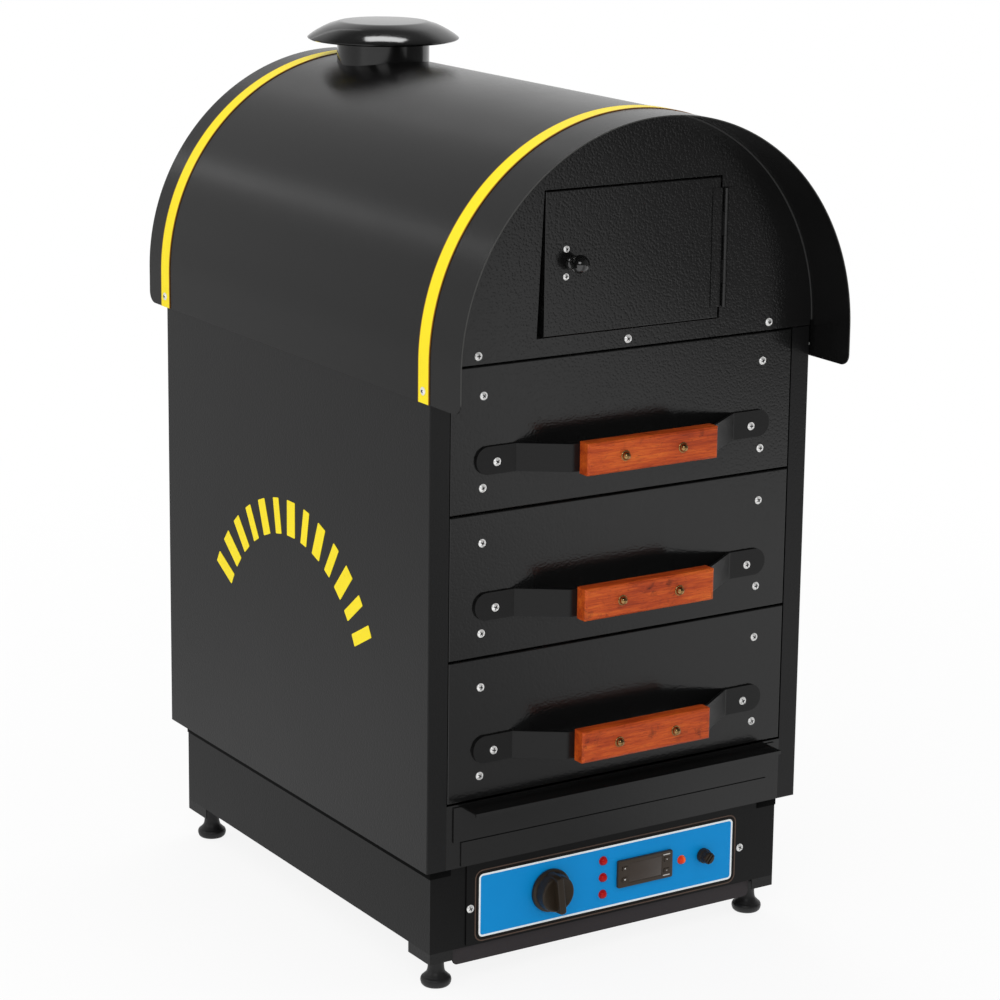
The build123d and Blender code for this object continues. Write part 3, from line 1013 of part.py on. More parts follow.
with BuildPart() as control_plate:
    with BuildSketch(facing(BASE_FRONT_Y)):
        with Locations((0, FOOT_HEIGHT + BASE_HEIGHT / 2)):
            Rectangle(2 * PLATE_HALF_WIDTH, BASE_HEIGHT - 2 * PLATE_MARGIN)
        with Locations(*PLATE_SCREWS):
            Circle(SCREW_HOLE_RADIUS, mode=Mode.SUBTRACT)
        with Locations((SWITCH_X, CONTROL_Z), (LIMITER_X, CONTROL_Z)):
            Circle(SHAFT_RADIUS + SHAFT_HOLE_GAP, mode=Mode.SUBTRACT)
        with Locations(*LAMPS):
            Circle(LAMP_BODY_RADIUS + HOLE_CLEARANCE, mode=Mode.SUBTRACT)
        with Locations((CONTROLLER_X, CONTROL_Z)):
            Rectangle(*CONTROLLER_CUTOUT, mode=Mode.SUBTRACT)
    extrude(amount=SHEET)
control_plate.part.label = "control_plate"
export_step(control_plate.part, "parts/control_plate.step")

with BuildPart() as control_overlay:
    with BuildSketch(facing(PLATE_Y)):
        with Locations((0, CONTROL_Z - OVERLAY_DROP)):
            RectangleRounded(2 * OVERLAY_HALF_WIDTH, OVERLAY_HEIGHT, OVERLAY_RADIUS)
        with Locations((SWITCH_X, CONTROL_Z), (LIMITER_X, CONTROL_Z)):
            Circle(SHAFT_RADIUS + SHAFT_HOLE_GAP, mode=Mode.SUBTRACT)
        with Locations(*LAMPS):
            Circle(LAMP_BODY_RADIUS + HOLE_CLEARANCE, mode=Mode.SUBTRACT)
        with Locations((CONTROLLER_X, CONTROL_Z)):
            Rectangle(*CONTROLLER_CUTOUT, mode=Mode.SUBTRACT)
    extrude(amount=OVERLAY_THICKNESS)
control_overlay.part.label = "control_overlay"
export_step(control_overlay.part, "parts/control_overlay.step")

KEYS = {
    "key_power": (-KEY_X, KEY_Z),
    "key_set": (-KEY_X, -KEY_Z),
    "key_up": (KEY_X, KEY_Z),
    "key_down": (KEY_X, -KEY_Z),
}
BEZEL_FACE_Y = PANEL_FACE_Y - CONTROLLER_BEZEL

with BuildPart() as controller:
    slab(CONTROLLER_X - CONTROLLER_WIDTH / 2, CONTROLLER_X + CONTROLLER_WIDTH / 2, BEZEL_FACE_Y, PANEL_FACE_Y,
         CONTROL_Z - CONTROLLER_HEIGHT / 2, CONTROL_Z + CONTROLLER_HEIGHT / 2)
    fillet(controller.edges().filter_by(Axis.Y), CONTROLLER_CORNER)
    chamfer(controller.faces().sort_by(Axis.Y)[0].edges(), CONTROLLER_CHAMFER)
    housing_x, housing_z, housing_y = CONTROLLER_HOUSING
    slab(CONTROLLER_X - housing_x / 2, CONTROLLER_X + housing_x / 2, PANEL_FACE_Y, PANEL_FACE_Y + housing_y,
         CONTROL_Z - housing_z / 2, CONTROL_Z + housing_z / 2)
    for key_x, key_z in KEYS.values():
        pocket_x, pocket_z = KEY_WIDTH / 2 + HOLE_CLEARANCE, KEY_HEIGHT / 2 + HOLE_CLEARANCE
        slab(CONTROLLER_X + key_x - pocket_x, CONTROLLER_X + key_x + pocket_x, BEZEL_FACE_Y - 1,
             BEZEL_FACE_Y + KEY_POCKET, CONTROL_Z + key_z - pocket_z, CONTROL_Z + key_z + pocket_z,
             Mode.SUBTRACT)
controller.part.label = "controller"
export_step(controller.part, "parts/controller.step")

for key_name, (key_x, key_z) in KEYS.items():
    with BuildPart() as key:
        slab(CONTROLLER_X + key_x - KEY_WIDTH / 2, CONTROLLER_X + key_x + KEY_WIDTH / 2,
             BEZEL_FACE_Y - KEY_PROUD, BEZEL_FACE_Y - KEY_PROUD + KEY_DEPTH,
             CONTROL_Z + key_z - KEY_HEIGHT / 2, CONTROL_Z + key_z + KEY_HEIGHT / 2)
        fillet(key.edges().filter_by(Axis.Y), KEY_CORNER)
    key.part.label = key_name
    export_step(key.part, f"parts/{key_name}.step")


KNOB_BACK_Y = PANEL_FACE_Y - KNOB_STANDOFF
SHAFT_REACH = BASE_FRONT_Y + BEHIND_PLATE + SHAFT_LENGTH - SHAFT_END_GAP - KNOB_BACK_Y

with BuildPart() as rotary_switch:
    switch_y = BASE_FRONT_Y + BEHIND_PLATE
    slab(SWITCH_X - SWITCH_BODY / 2, SWITCH_X + SWITCH_BODY / 2, switch_y, switch_y + SWITCH_BODY_DEPTH,
         CONTROL_Z - SWITCH_BODY / 2, CONTROL_Z + SWITCH_BODY / 2)
    fillet(rotary_switch.edges().filter_by(Axis.Y), SWITCH_BODY_CORNER)
    with BuildSketch(facing(switch_y)):
        with Locations((SWITCH_X, CONTROL_Z)):
            Circle(SHAFT_RADIUS + SHAFT_CLEARANCE)
    extrude(amount=-SHAFT_LENGTH, mode=Mode.SUBTRACT)
rotary_switch.part.label = "rotary_switch"
export_step(rotary_switch.part, "parts/rotary_switch.step")

with BuildPart() as switch_knob:
    with BuildSketch(facing(KNOB_BACK_Y)):
        with Locations((SWITCH_X, CONTROL_Z)):
            Circle(SWITCH_KNOB_RADIUS)
    extrude(amount=SKIRT_THICKNESS)
    with BuildSketch(facing(KNOB_BACK_Y - SKIRT_THICKNESS)):
        with Locations((SWITCH_X, CONTROL_Z)):
            Circle(SWITCH_KNOB_RADIUS - SKIRT_STEP)
    extrude(amount=KNOB_BODY_DEPTH, taper=KNOB_TAPER)
    fillet(switch_knob.faces().sort_by(Axis.Y)[0].edges(), KNOB_EDGE)
    with BuildSketch(facing(KNOB_BACK_Y - SKIRT_THICKNESS)):
        with Locations((SWITCH_X, CONTROL_Z)):
            RectangleRounded(KNOB_BAR_WIDTH, 2 * (SWITCH_KNOB_RADIUS - KNOB_BAR_INSET), KNOB_BAR_CORNER)
    extrude(amount=SWITCH_KNOB_DEPTH - SKIRT_THICKNESS)
    fillet(switch_knob.faces().sort_by(Axis.Y)[0].edges(), KNOB_EDGE)
    with BuildSketch(facing(KNOB_BACK_Y)):
        with Locations((SWITCH_X, CONTROL_Z)):
            Circle(SHAFT_RADIUS)
    extrude(amount=-SHAFT_REACH)
switch_knob.part.label = "switch_knob"
export_step(switch_knob.part, "parts/switch_knob.step")

with BuildPart() as limiter_body:
    with BuildSketch(facing(BASE_FRONT_Y + BEHIND_PLATE)):
        with Locations((LIMITER_X, CONTROL_Z)):
            Circle(LIMITER_BODY_RADIUS)
    extrude(amount=-LIMITER_BODY_DEPTH)
    with BuildSketch(facing(BASE_FRONT_Y + BEHIND_PLATE)):
        with Locations((LIMITER_X, CONTROL_Z)):
            Circle(SHAFT_RADIUS + SHAFT_CLEARANCE)
    extrude(amount=-SHAFT_LENGTH, mode=Mode.SUBTRACT)
limiter_body.part.label = "limiter_body"
export_step(limiter_body.part, "parts/limiter_body.step")

with BuildPart() as limiter_knob:
    with BuildSketch(facing(KNOB_BACK_Y)):
        with Locations((LIMITER_X, CONTROL_Z)):
            Circle(LIMITER_KNOB_RADIUS)
    extrude(amount=LIMITER_SKIRT)
    with BuildSketch(facing(KNOB_BACK_Y - LIMITER_SKIRT)):
        with Locations((LIMITER_X, CONTROL_Z)):
            Circle(LIMITER_KNOB_RADIUS - LIMITER_STEP)
    extrude(amount=LIMITER_KNOB_DEPTH - LIMITER_SKIRT)
    fillet(limiter_knob.faces().sort_by(Axis.Y)[0].edges(), LIMITER_EDGE)
    slot_width, slot_depth = LIMITER_SLOT
    knob_face_y = KNOB_BACK_Y - LIMITER_KNOB_DEPTH
    slab(LIMITER_X - slot_width / 2, LIMITER_X + slot_width / 2, knob_face_y - 1, knob_face_y + slot_depth,
         CONTROL_Z - LIMITER_KNOB_RADIUS, CONTROL_Z + LIMITER_KNOB_RADIUS, Mode.SUBTRACT)
    with BuildSketch(facing(KNOB_BACK_Y)):
        with Locations((LIMITER_X, CONTROL_Z)):
            Circle(SHAFT_RADIUS)
    extrude(amount=-SHAFT_REACH)
limiter_knob.part.label = "limiter_knob"
export_step(limiter_knob.part, "parts/limiter_knob.step")

with BuildPart() as pilot_lamp:
    Cylinder(LAMP_BODY_RADIUS, LAMP_BODY_DEPTH, align=(Align.CENTER, Align.CENTER, Align.MAX))
    Cylinder(LAMP_RADIUS, LAMP_RIM, align=(Align.CENTER, Align.CENTER, Align.MIN))
    Sphere(LAMP_RADIUS - LAMP_DOME_INSET, arc_size1=0, align=(Align.CENTER, Align.CENTER, Align.MIN))
pilot_lamps = Compound(children=[pilot_lamp.part.moved(Location((x, PANEL_FACE_Y, z), (90, 0, 0)))
                                 for x, z in LAMPS])
pilot_lamps.label = "pilot_lamps"
export_step(pilot_lamps, "parts/pilot_lamps.step")

with BuildPart() as terminal_block:
    block_y, block_z = BASE_BACK_Y - SHEET - TERMINAL_SIDE, FOOT_HEIGHT + TERMINAL_RISE
    slab(TERMINAL_X - TERMINAL_LENGTH / 2, TERMINAL_X + TERMINAL_LENGTH / 2, block_y, block_y + TERMINAL_SIDE,
         block_z, block_z + TERMINAL_SIDE)
    with BuildSketch(facing(block_y)):
        with Locations((TERMINAL_X, block_z + TERMINAL_SIDE / 2)):
            with GridLocations(TERMINAL_PITCH, 0, TERMINAL_COUNT, 1):
                Circle(TERMINAL_BORE[0])
    extrude(amount=-TERMINAL_BORE[1], mode=Mode.SUBTRACT)
terminal_block.part.label = "terminal_block"
export_step(terminal_block.part, "parts/terminal_block.step")

with BuildPart() as cable_gland:
    nut_radius, nut_thickness = GLAND_NUT
    nose_radius, nose_reach = GLAND_NOSE
    for profile_y, length, outline in (
            (BASE_BACK_Y + nose_reach, nose_reach, (nose_radius, 0)),
            (BASE_BACK_Y + nut_thickness, nut_thickness, (nut_radius, HEX)),
            (BASE_BACK_Y, GLAND_LENGTH, (GLAND_BODY_RADIUS, 0))):
        with BuildSketch(facing(profile_y)):
            with Locations((GLAND_X, GLAND_Z)):
                if outline[1]:
                    RegularPolygon(*outline)
                else:
                    Circle(outline[0])
        extrude(amount=length)
    with BuildSketch(facing(BASE_BACK_Y + nose_reach)):
        with Locations((GLAND_X, GLAND_Z)):
            Circle(GLAND_BORE)
    extrude(amount=nose_reach + GLAND_LENGTH, mode=Mode.SUBTRACT)
cable_gland.part.label = "cable_gland"
export_step(cable_gland.part, "parts/cable_gland.step")

casing_places = [((x, FRONT_Y, z), (90, 0, 0)) for x, z in ARCH_SCREWS]
casing_places += [((x, PLATE_Y, z), (90, 0, 0)) for x, z in PLATE_SCREWS]
casing_places += [((x, BACK_Y, z), (-90, 0, 0)) for x, z in BACK_SCREWS]
casing_places += [((side * (HOOD_RADIUS + TRIM_THICKNESS), y, TRIM_SCREW_Z), (0, 90 * side, 0))
                  for side in (-1, 1) for y in TRIM_Y]
SHORT_SCREW = pan_head_screw(TRIM_THICKNESS + HOOD_SHEET + TRIM_SCREW_POINT)
casing_screws = Compound(children=[
    (SHORT_SCREW if abs(place[0]) > HALF_WIDTH else PAN_HEAD).moved(Location(place, turn))
    for place, turn in casing_places])
casing_screws.label = "casing_screws"
export_step(casing_screws, "parts/casing_screws.step")
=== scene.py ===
"""Studio scene of a baked potato oven: small parts, finishes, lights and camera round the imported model.

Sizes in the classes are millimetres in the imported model's own frame; meshes are made in metres.
"""
import logging
import math
from contextlib import contextmanager
from dataclasses import dataclass
from enum import Enum
from functools import cache
from typing import Callable, Iterator, Optional, Sequence, Union

import bmesh
import bpy
from mathutils import Matrix, Vector


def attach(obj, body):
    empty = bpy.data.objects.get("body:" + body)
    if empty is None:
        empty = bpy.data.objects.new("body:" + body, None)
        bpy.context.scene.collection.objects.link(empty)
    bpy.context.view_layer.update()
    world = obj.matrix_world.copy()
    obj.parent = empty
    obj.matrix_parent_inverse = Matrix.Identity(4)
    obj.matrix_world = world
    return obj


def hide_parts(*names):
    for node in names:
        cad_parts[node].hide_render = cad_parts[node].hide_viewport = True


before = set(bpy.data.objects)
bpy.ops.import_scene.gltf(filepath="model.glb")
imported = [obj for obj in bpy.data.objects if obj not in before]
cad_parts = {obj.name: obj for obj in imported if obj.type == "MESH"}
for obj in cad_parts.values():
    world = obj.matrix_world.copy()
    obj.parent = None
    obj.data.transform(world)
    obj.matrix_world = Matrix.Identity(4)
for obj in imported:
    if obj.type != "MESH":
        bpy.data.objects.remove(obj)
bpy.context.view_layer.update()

MM = 0.001
LOG = logging.getLogger("oven")
Pair = tuple[float, float]
Point = tuple[float, float, float]
Colour = tuple[float, float, float]
Ramp = tuple[float, ...]
Profile = list[Pair]
Piece = bpy.types.Object
WHITE: Colour = (1.0, 1.0, 1.0)
SIDES = (-1, 1)
SHARP_ANGLE = 35.0
EASED_ANGLE = 32.0
MOULDED_ANGLE = 30.0


def grey(level: float) -> Colour:
    """Return a colourless tone."""
    return level, level, level


def turn(degrees: float, axis: str) -> Matrix:
    """Return a turn about an axis through the origin."""
    return Matrix.Rotation(math.radians(degrees), 4, axis)


def shift(x: float, y: float, z: float) -> Matrix:
    """Return a move given in mm."""
    return Matrix.Translation(Vector((x, y, z)) * MM)


def basis(right: Vector, up: Vector, place: Point) -> Matrix:
    """Return the stance of a camera or a lamp that looks against right x up from a place in metres."""
    return Matrix.Translation(Vector(place)) @ Matrix((right, up, right.cross(up))).transposed().to_4x4()


class Face(Enum):
    """The way a small part points, as the turn that brings +Z there: (degrees, axis)."""

    FRONT = (90.0, "X")
    BACK = (-90.0, "X")
    LEFT = (-90.0, "Y")
    RIGHT = (90.0, "Y")
    UP = (0.0, "Z")

    @property
    def matrix(self) -> Matrix:
        """Return the turn itself."""
        return turn(*self.value)


class Part(Enum):
    """The element of a mesh that a selection is made of."""

    VERTS = "VERT"
    EDGES = "EDGE"


# ------------ shader maths
def operator(operation: str, swapped: bool = False) -> Callable[..., "Channel"]:
    """Write one of Channel's arithmetic methods.

    Args:
        operation: the Math node's operation.
        swapped: whether the channel is the second term.

    Returns:
        A method that adds the node and returns its result.
    """
    def method(self: "Channel", *others: Union["Channel", float]) -> "Channel":
        """Return the result on this channel and the other term, if there is one."""
        terms = (*others, self) if swapped else (self, *others)
        return self.shader.make("Math", {"operation": operation}, dict(enumerate(terms)))
    return method


class Channel:
    """An output socket whose arithmetic adds Math nodes to its shader's tree."""

    def __init__(self, shader: "Shader", socket: bpy.types.NodeSocket) -> None:
        """Keep the socket and the shader it belongs to."""
        self.shader = shader
        self.socket = socket

    __add__ = __radd__ = operator("ADD")
    __sub__ = operator("SUBTRACT")
    __rsub__ = operator("SUBTRACT", swapped=True)
    __mul__ = __rmul__ = operator("MULTIPLY")
    __truediv__ = operator("DIVIDE")
    __pow__ = operator("POWER")
    __abs__ = operator("ABSOLUTE")
    at_least = operator("MAXIMUM")
    at_most = operator("MINIMUM")

    def ramp(self, low: float, high: float, floor: float = 0.0, top: float = 1.0) -> "Channel":
        """Return this channel eased from floor to top while it goes from low to high.

        Args:
            low: value that gives floor.
            high: value that gives top.
            floor: result at and before low.
            top: result at and after high.

        Returns:
            The eased channel.
        """
        settings = {"interpolation_type": "SMOOTHSTEP", "clamp": True}
        sockets = dict(enumerate((self, low, high, floor, top)))
        return self.shader.make("MapRange", settings, sockets)


Tone = Union[Colour, Channel]
MIX_FACTOR, MIX_FIRST, MIX_SECOND, MIX_RESULT = 0, 6, 7, 2


def rgba(tone: Tone) -> object:
    """Return a colour with its alpha, or a channel as it is."""
    return tone if isinstance(tone, Channel) else (*tone, 1.0)


class Shader:
    """A material or surround under construction."""

    def __init__(self, name: str, surround: Optional[bpy.types.World] = None) -> None:
        """Start an empty node tree.

        Args:
            name: the new material's name.
            surround: the world to work on instead of a new material.
        """
        self.material = surround or bpy.data.materials.new(name)
        self.material.use_nodes = True
        self.tree = self.material.node_tree
        self.tree.nodes.clear()
        self._place: Optional[Channel] = None

    def make(self, kind: str, settings: dict[str, object], sockets: dict[Union[int, str], object],
             out: Union[int, str] = 0) -> Optional[Channel]:
        """Add a node.

        Args:
            kind: Blender's name of the node's type, without its ShaderNode.
            settings: the node's own options, set before its sockets; "stops" fills a colour ramp.
            sockets: values or channels by socket name or number.
            out: the output to return.

        Returns:
            The chosen output as a channel, if the node has outputs.
        """
        node = self.tree.nodes.new("ShaderNode" + kind)
        for key, value in settings.items():
            if key == "stops":
                ramp = node.color_ramp.elements
                while len(ramp) < len(value):
                    ramp.new(0.5)
                for element, (position, colour) in zip(ramp, value):
                    element.position = position
                    element.color = rgba(colour)
            else:
                setattr(node, key, value)
        for key, value in sockets.items():
            if isinstance(value, Channel):
                self.tree.links.new(value.socket, node.inputs[key])
            else:
                node.inputs[key].default_value = value
        return Channel(self, node.outputs[out]) if node.outputs else None

    def place(self) -> Channel:
        """Return the point's place on the object, in metres."""
        if self._place is None:
            self._place = self.make("TexCoord", {}, {}, "Object")
        return self._place

    def axis(self, letter: str, kind: str = "Object") -> Channel:
        """Return one coordinate of the point's place, or of a surround's direction."""
        place = self.place() if kind == "Object" else self.make("TexCoord", {}, {}, kind)
        return self.make("SeparateXYZ", {}, {0: place}, letter)

    def sight(self, kind: str) -> Channel:
        """Return 1 for rays of one kind and 0 for the others."""
        return self.make("LightPath", {}, {}, kind)

    def seen(self) -> Channel:
        """Return 1 for rays straight from the camera or through glass."""
        return self.sight("Is Camera Ray").at_least(self.sight("Is Transmission Ray"))

    def stretched(self, scale: Point, tilt: Point = (0.0, 0.0, 0.0)) -> Channel:
        """Return the place with each axis scaled and the pattern turned."""
        return self.make("Mapping", {}, {"Vector": self.place(), "Scale": scale, "Rotation": tilt})

    def noise(self, scale: float, detail: float = 2.0, rough: float = 0.5, twist: float = 0.0,
              at: Optional[Channel] = None) -> Channel:
        """Return soft noise from 0 to 1.

        Args:
            scale: bumps a metre, or a unit of the stretched place.
            detail: octaves.
            rough: strength of the finer octaves.
            twist: distortion.
            at: place to read, or None for the plain place.

        Returns:
            The noise's factor.
        """
        sockets = {"Vector": at or self.place(), "Scale": scale, "Detail": detail, "Roughness": rough,
                   "Distortion": twist}
        return self.make("TexNoise", {}, sockets)

    def cells(self, scale: float, feature: str = "F1") -> Channel:
        """Return the distance inside Voronoi cells of the given scale."""
        sockets = {"Vector": self.place(), "Scale": scale}
        return self.make("TexVoronoi", {"feature": feature}, sockets, "Distance")

    def colours(self, factor: Channel, stops: Sequence[tuple[float, Colour]]) -> Channel:
        """Return a colour ramp over a factor."""
        return self.make("ValToRGB", {"stops": stops}, {0: factor})

    def blend(self, factor: Channel, first: Tone, second: Tone) -> Channel:
        """Return first where the factor is 0 and second where it is 1."""
        sockets = {MIX_FACTOR: factor, MIX_FIRST: rgba(first), MIX_SECOND: rgba(second)}
        return self.make("Mix", {"data_type": "RGBA"}, sockets, MIX_RESULT)

    def shaded(self, tone: Tone, factor: Channel) -> Channel:
        """Return a colour multiplied by a grey factor.

        Args:
            tone: the colour.
            factor: how much of it is left.

        Returns:
            The shaded colour.
        """
        level = self.make("CombineColor", {}, {0: factor, 1: factor, 2: factor})
        sockets = {MIX_FACTOR: 1.0, MIX_FIRST: rgba(tone), MIX_SECOND: level}
        return self.make("Mix", {"data_type": "RGBA", "blend_type": "MULTIPLY"}, sockets, MIX_RESULT)

    def bump(self, height: Channel, depth: float) -> Channel:
        """Return a normal bent by a height from 0 to 1 that spans a depth in metres."""
        return self.make("Bump", {}, {"Height": height, "Distance": depth, "Strength": 1.0})

    def emission(self, tone: Tone) -> Channel:
        """Return a surface that glows in a colour, where a strength of 1 is white."""
        return self.make("Emission", {}, {"Color": rgba(tone), "Strength": 1.0})

    def mixed(self, factor: Channel, first: Channel, second: Channel) -> Channel:
        """Return the first surface where the factor is 0 and the second where it is 1."""
        return self.make("MixShader", {}, dict(enumerate((factor, first, second))))

    def finish(self, **sockets: object) -> bpy.types.Material:
        """Close the material with its Principled node.

        Args:
            sockets: Principled inputs, with _ for the spaces in their names.

        Returns:
            The material.
        """
        named = {key.replace("_", " "): value for key, value in sockets.items()}
        surface = self.make("BsdfPrincipled", {}, named)
        self.make("OutputMaterial", {}, {"Surface": surface})
        return self.material


# ------------ finishes
@dataclass(frozen=True)
class PowderCoat:
    """Satin paint baked on sheet steel, finely wrinkled, with a painted highlight along a front edge or round
    an arched rim.
    """

    name: str
    tone: Colour
    roughness: float = 0.30
    wrinkle: float = 420.0
    depth: float = 0.00018
    specular: float = 0.29
    dust: float = 0.25
    front_highlight_y: Optional[float] = None
    front_highlight_width: float = 1.1
    front_highlight_tone: Colour = (0.20, 0.20, 0.19)
    rim_highlight: Optional[Pair] = None
    rim_highlight_width: float = 0.9
    rim_highlight_tone: Colour = (0.09, 0.09, 0.09)
    waver: float = 0.0004

    def material(self) -> bpy.types.Material:
        """Return the coat: cloudy tone, wrinkled relief, rubbed patches and the painted edge highlights."""
        shader = Shader(self.name)
        grain = shader.noise(self.wrinkle * 2.2, 3.0, 0.55, 0.6)
        pebble = shader.cells(self.wrinkle, "SMOOTH_F1").ramp(0.05, 0.55)
        cloud = shader.noise(5.0, 4.0, 0.6)
        scuff = shader.noise(55.0, 5.0, 0.7, 1.2).ramp(0.60, 0.78)
        tone = shader.shaded(self.tone, 1.0 - self.dust / 2 + cloud * self.dust + scuff * self.dust * 0.6
                             + grain * 0.3 - 0.15)
        # Painted highlight: a lighter line along the front edge, where the edge catches the light, broken up
        # by the scuff noise.
        if self.front_highlight_y is not None:
            edge = (shader.axis("Y") + cloud * self.waver).ramp((self.front_highlight_y + self.front_highlight_width) * MM,
                                                                self.front_highlight_y * MM)
            tone = shader.blend(edge * scuff.ramp(0.0, 0.6, 0.25, 0.6), tone, self.front_highlight_tone)
        # Painted highlight: a lighter line just inside the arched rim, above the arch's centre only.
        if self.rim_highlight is not None:
            middle, radius = self.rim_highlight
            x, z = shader.axis("X"), shader.axis("Z") - middle * MM
            reach = (x * x + z * z) ** 0.5 + cloud * self.waver
            rim = reach.ramp((radius - self.rim_highlight_width) * MM, radius * MM)
            tone = shader.blend(rim * z.ramp(-0.02, 0.0) * 0.5, tone, self.rim_highlight_tone)
        return shader.finish(Base_Color=tone, Normal=shader.bump(grain * 0.4 + pebble * 0.6, self.depth),
                             Specular_IOR_Level=self.specular,
                             Roughness=self.roughness - 0.05 + cloud * 0.12 - scuff * 0.05)


@dataclass(frozen=True)
class Enamel:
    """Smooth glossy paint or moulded gloss plastic under a clear layer."""

    name: str
    tone: Colour
    roughness: float = 0.22
    ripple: float = 0.00004
    coat: float = 0.6
    coat_roughness: float = 0.06

    def material(self) -> bpy.types.Material:
        """Return the gloss with a faint orange peel and fine hairline marks."""
        shader = Shader(self.name)
        peel = shader.noise(140.0, 2.0, 0.4)
        marks = shader.noise(30.0, 6.0, 0.75, 2.0)
        return shader.finish(Base_Color=shader.shaded(self.tone, 0.9 + peel * 0.12 + marks * 0.1),
                             Roughness=self.roughness + marks * 0.1 - 0.05, Coat_Weight=self.coat,
                             Coat_Roughness=self.coat_roughness, Normal=shader.bump(peel, self.ripple))


@dataclass(frozen=True)
class VarnishedWood:
    """Reddish hardwood with its grain along X, under varnish."""

    name: str
    tones: tuple[tuple[float, Colour], ...] = (
        (0.30, (0.17, 0.015, 0.002)), (0.43, (0.38, 0.044, 0.005)),
        (0.53, (0.53, 0.078, 0.008)), (0.68, (0.70, 0.150, 0.016)))

    def material(self) -> bpy.types.Material:
        """Return flowing figure, darker streaks, pores and stains."""
        shader = Shader(self.name)
        figure = shader.noise(1.0, 4.0, 0.6, 0.35, shader.stretched((11.0, 90.0, 90.0)))
        streak = shader.noise(1.0, 6.0, 0.7, 0.2, shader.stretched((30.0, 520.0, 520.0)))
        pore = shader.noise(1.0, 2.0, 0.6, 0.0, shader.stretched((120.0, 1300.0, 1300.0))).ramp(0.56, 0.7)
        stain = shader.noise(42.0, 4.0, 0.7, 0.6).ramp(0.56, 0.72)
        wood = shader.colours(figure * 0.5 + streak * 0.5, self.tones)
        return shader.finish(Base_Color=shader.shaded(wood, 1.0 - pore * 0.45 - stain * 0.42),
                             Roughness=0.42 + streak * 0.16, Specular_IOR_Level=0.22, Coat_Weight=0.10,
                             Coat_Roughness=0.22, Normal=shader.bump(streak * 0.6 - pore * 0.4, 0.00010))


@dataclass(frozen=True)
class Metal:
    """Bare or plated metal with drawn or cloudy marks."""

    name: str
    tone: Colour
    roughness: float = 0.3
    stretch: Point = (40.0, 900.0, 900.0)
    stain: Colour = (0.25, 0.22, 0.19)
    stained: float = 0.15
    depth: float = 0.00002
    metallic: float = 1.0

    def material(self) -> bpy.types.Material:
        """Return brushed lines, a blotchy stain and a roughness that follows both."""
        shader = Shader(self.name)
        lines = shader.noise(1.0, 3.0, 0.6, 0.0, shader.stretched(self.stretch))
        blotch = shader.noise(22.0, 5.0, 0.62, 0.5)
        tone = shader.blend(blotch.ramp(0.45, 0.85) * self.stained, self.tone, self.stain)
        return shader.finish(Base_Color=shader.shaded(tone, 0.86 + lines * 0.26), Metallic=self.metallic,
                             Normal=shader.bump(lines, self.depth),
                             Roughness=self.roughness - 0.06 + lines * 0.12 + blotch * 0.08)


@dataclass(frozen=True)
class YellowStrip:
    """Gloss yellow strip whose long edges are darker, about the given depths from the front."""

    name: str
    middles: tuple[float, ...] = ()
    half_width: float = 11.0
    tone: Colour = (1.0, 0.80, 0.004)
    nicked: Colour = (0.62, 0.36, 0.01)
    edge_tone: Colour = (0.30, 0.115, 0.004)

    def material(self) -> bpy.types.Material:
        """Return the yellow, with orange-brown edges where the strips have them."""
        shader = Shader(self.name)
        cloud = shader.noise(26.0, 4.0, 0.6)
        nick = shader.noise(240.0, 3.0, 0.7).ramp(0.66, 0.76)
        tone = shader.blend(nick * 0.25, shader.shaded(self.tone, 0.96 + cloud * 0.08), self.nicked)
        if self.middles:
            away = abs(shader.axis("Y") - self.middles[0] * MM)
            for middle in self.middles[1:]:
                away = away.at_most(abs(shader.axis("Y") - middle * MM))
            edge = (away + cloud * 0.0006).ramp((self.half_width - 1.5) * MM, (self.half_width - 0.3) * MM)
            tone = shader.blend(edge, tone, self.edge_tone)
        return shader.finish(Base_Color=tone, Roughness=0.34 + cloud * 0.1 + nick * 0.2,
                             Normal=shader.bump(cloud, 0.00004), Specular_IOR_Level=0.25)


@dataclass(frozen=True)
class PrintedFilm:
    """Blue film with a white line set in from a dark rounded edge."""

    name: str
    half_width: float
    half_height: float
    middle_z: float
    corner: float
    margin: float = 2.6
    line: float = 2.2
    soft: float = 0.12
    blues: tuple[Colour, Colour] = ((0.0005, 0.265, 0.66), (0.001, 0.300, 0.74))
    line_tone: Colour = (0.90, 0.95, 0.97)
    border_tone: Colour = (0.008, 0.007, 0.006)

    def material(self) -> bpy.types.Material:
        """Return the print, drawn by the distance from the film's rounded outline."""
        shader = Shader(self.name)
        across = abs(shader.axis("X")) - (self.half_width - self.corner) * MM
        along = abs(shader.axis("Z") - self.middle_z * MM) - (self.half_height - self.corner) * MM
        round_part = (across.at_least(0.0) ** 2.0 + along.at_least(0.0) ** 2.0) ** 0.5
        depth = self.corner * MM - round_part - across.at_least(along).at_most(0.0)
        in_line, in_blue = (depth.ramp((edge - self.soft) * MM, (edge + self.soft) * MM)
                            for edge in (self.margin, self.margin + self.line))
        grain = shader.noise(1400.0, 2.0, 0.5)
        blue = shader.blend(shader.noise(14.0, 3.0, 0.5), *self.blues)
        border = shader.blend(in_line, self.border_tone, self.line_tone)
        return shader.finish(Base_Color=shader.blend(in_blue, border, blue), Roughness=0.42 + grain * 0.12,
                             Normal=shader.bump(grain, 0.00003), Specular_IOR_Level=0.15)


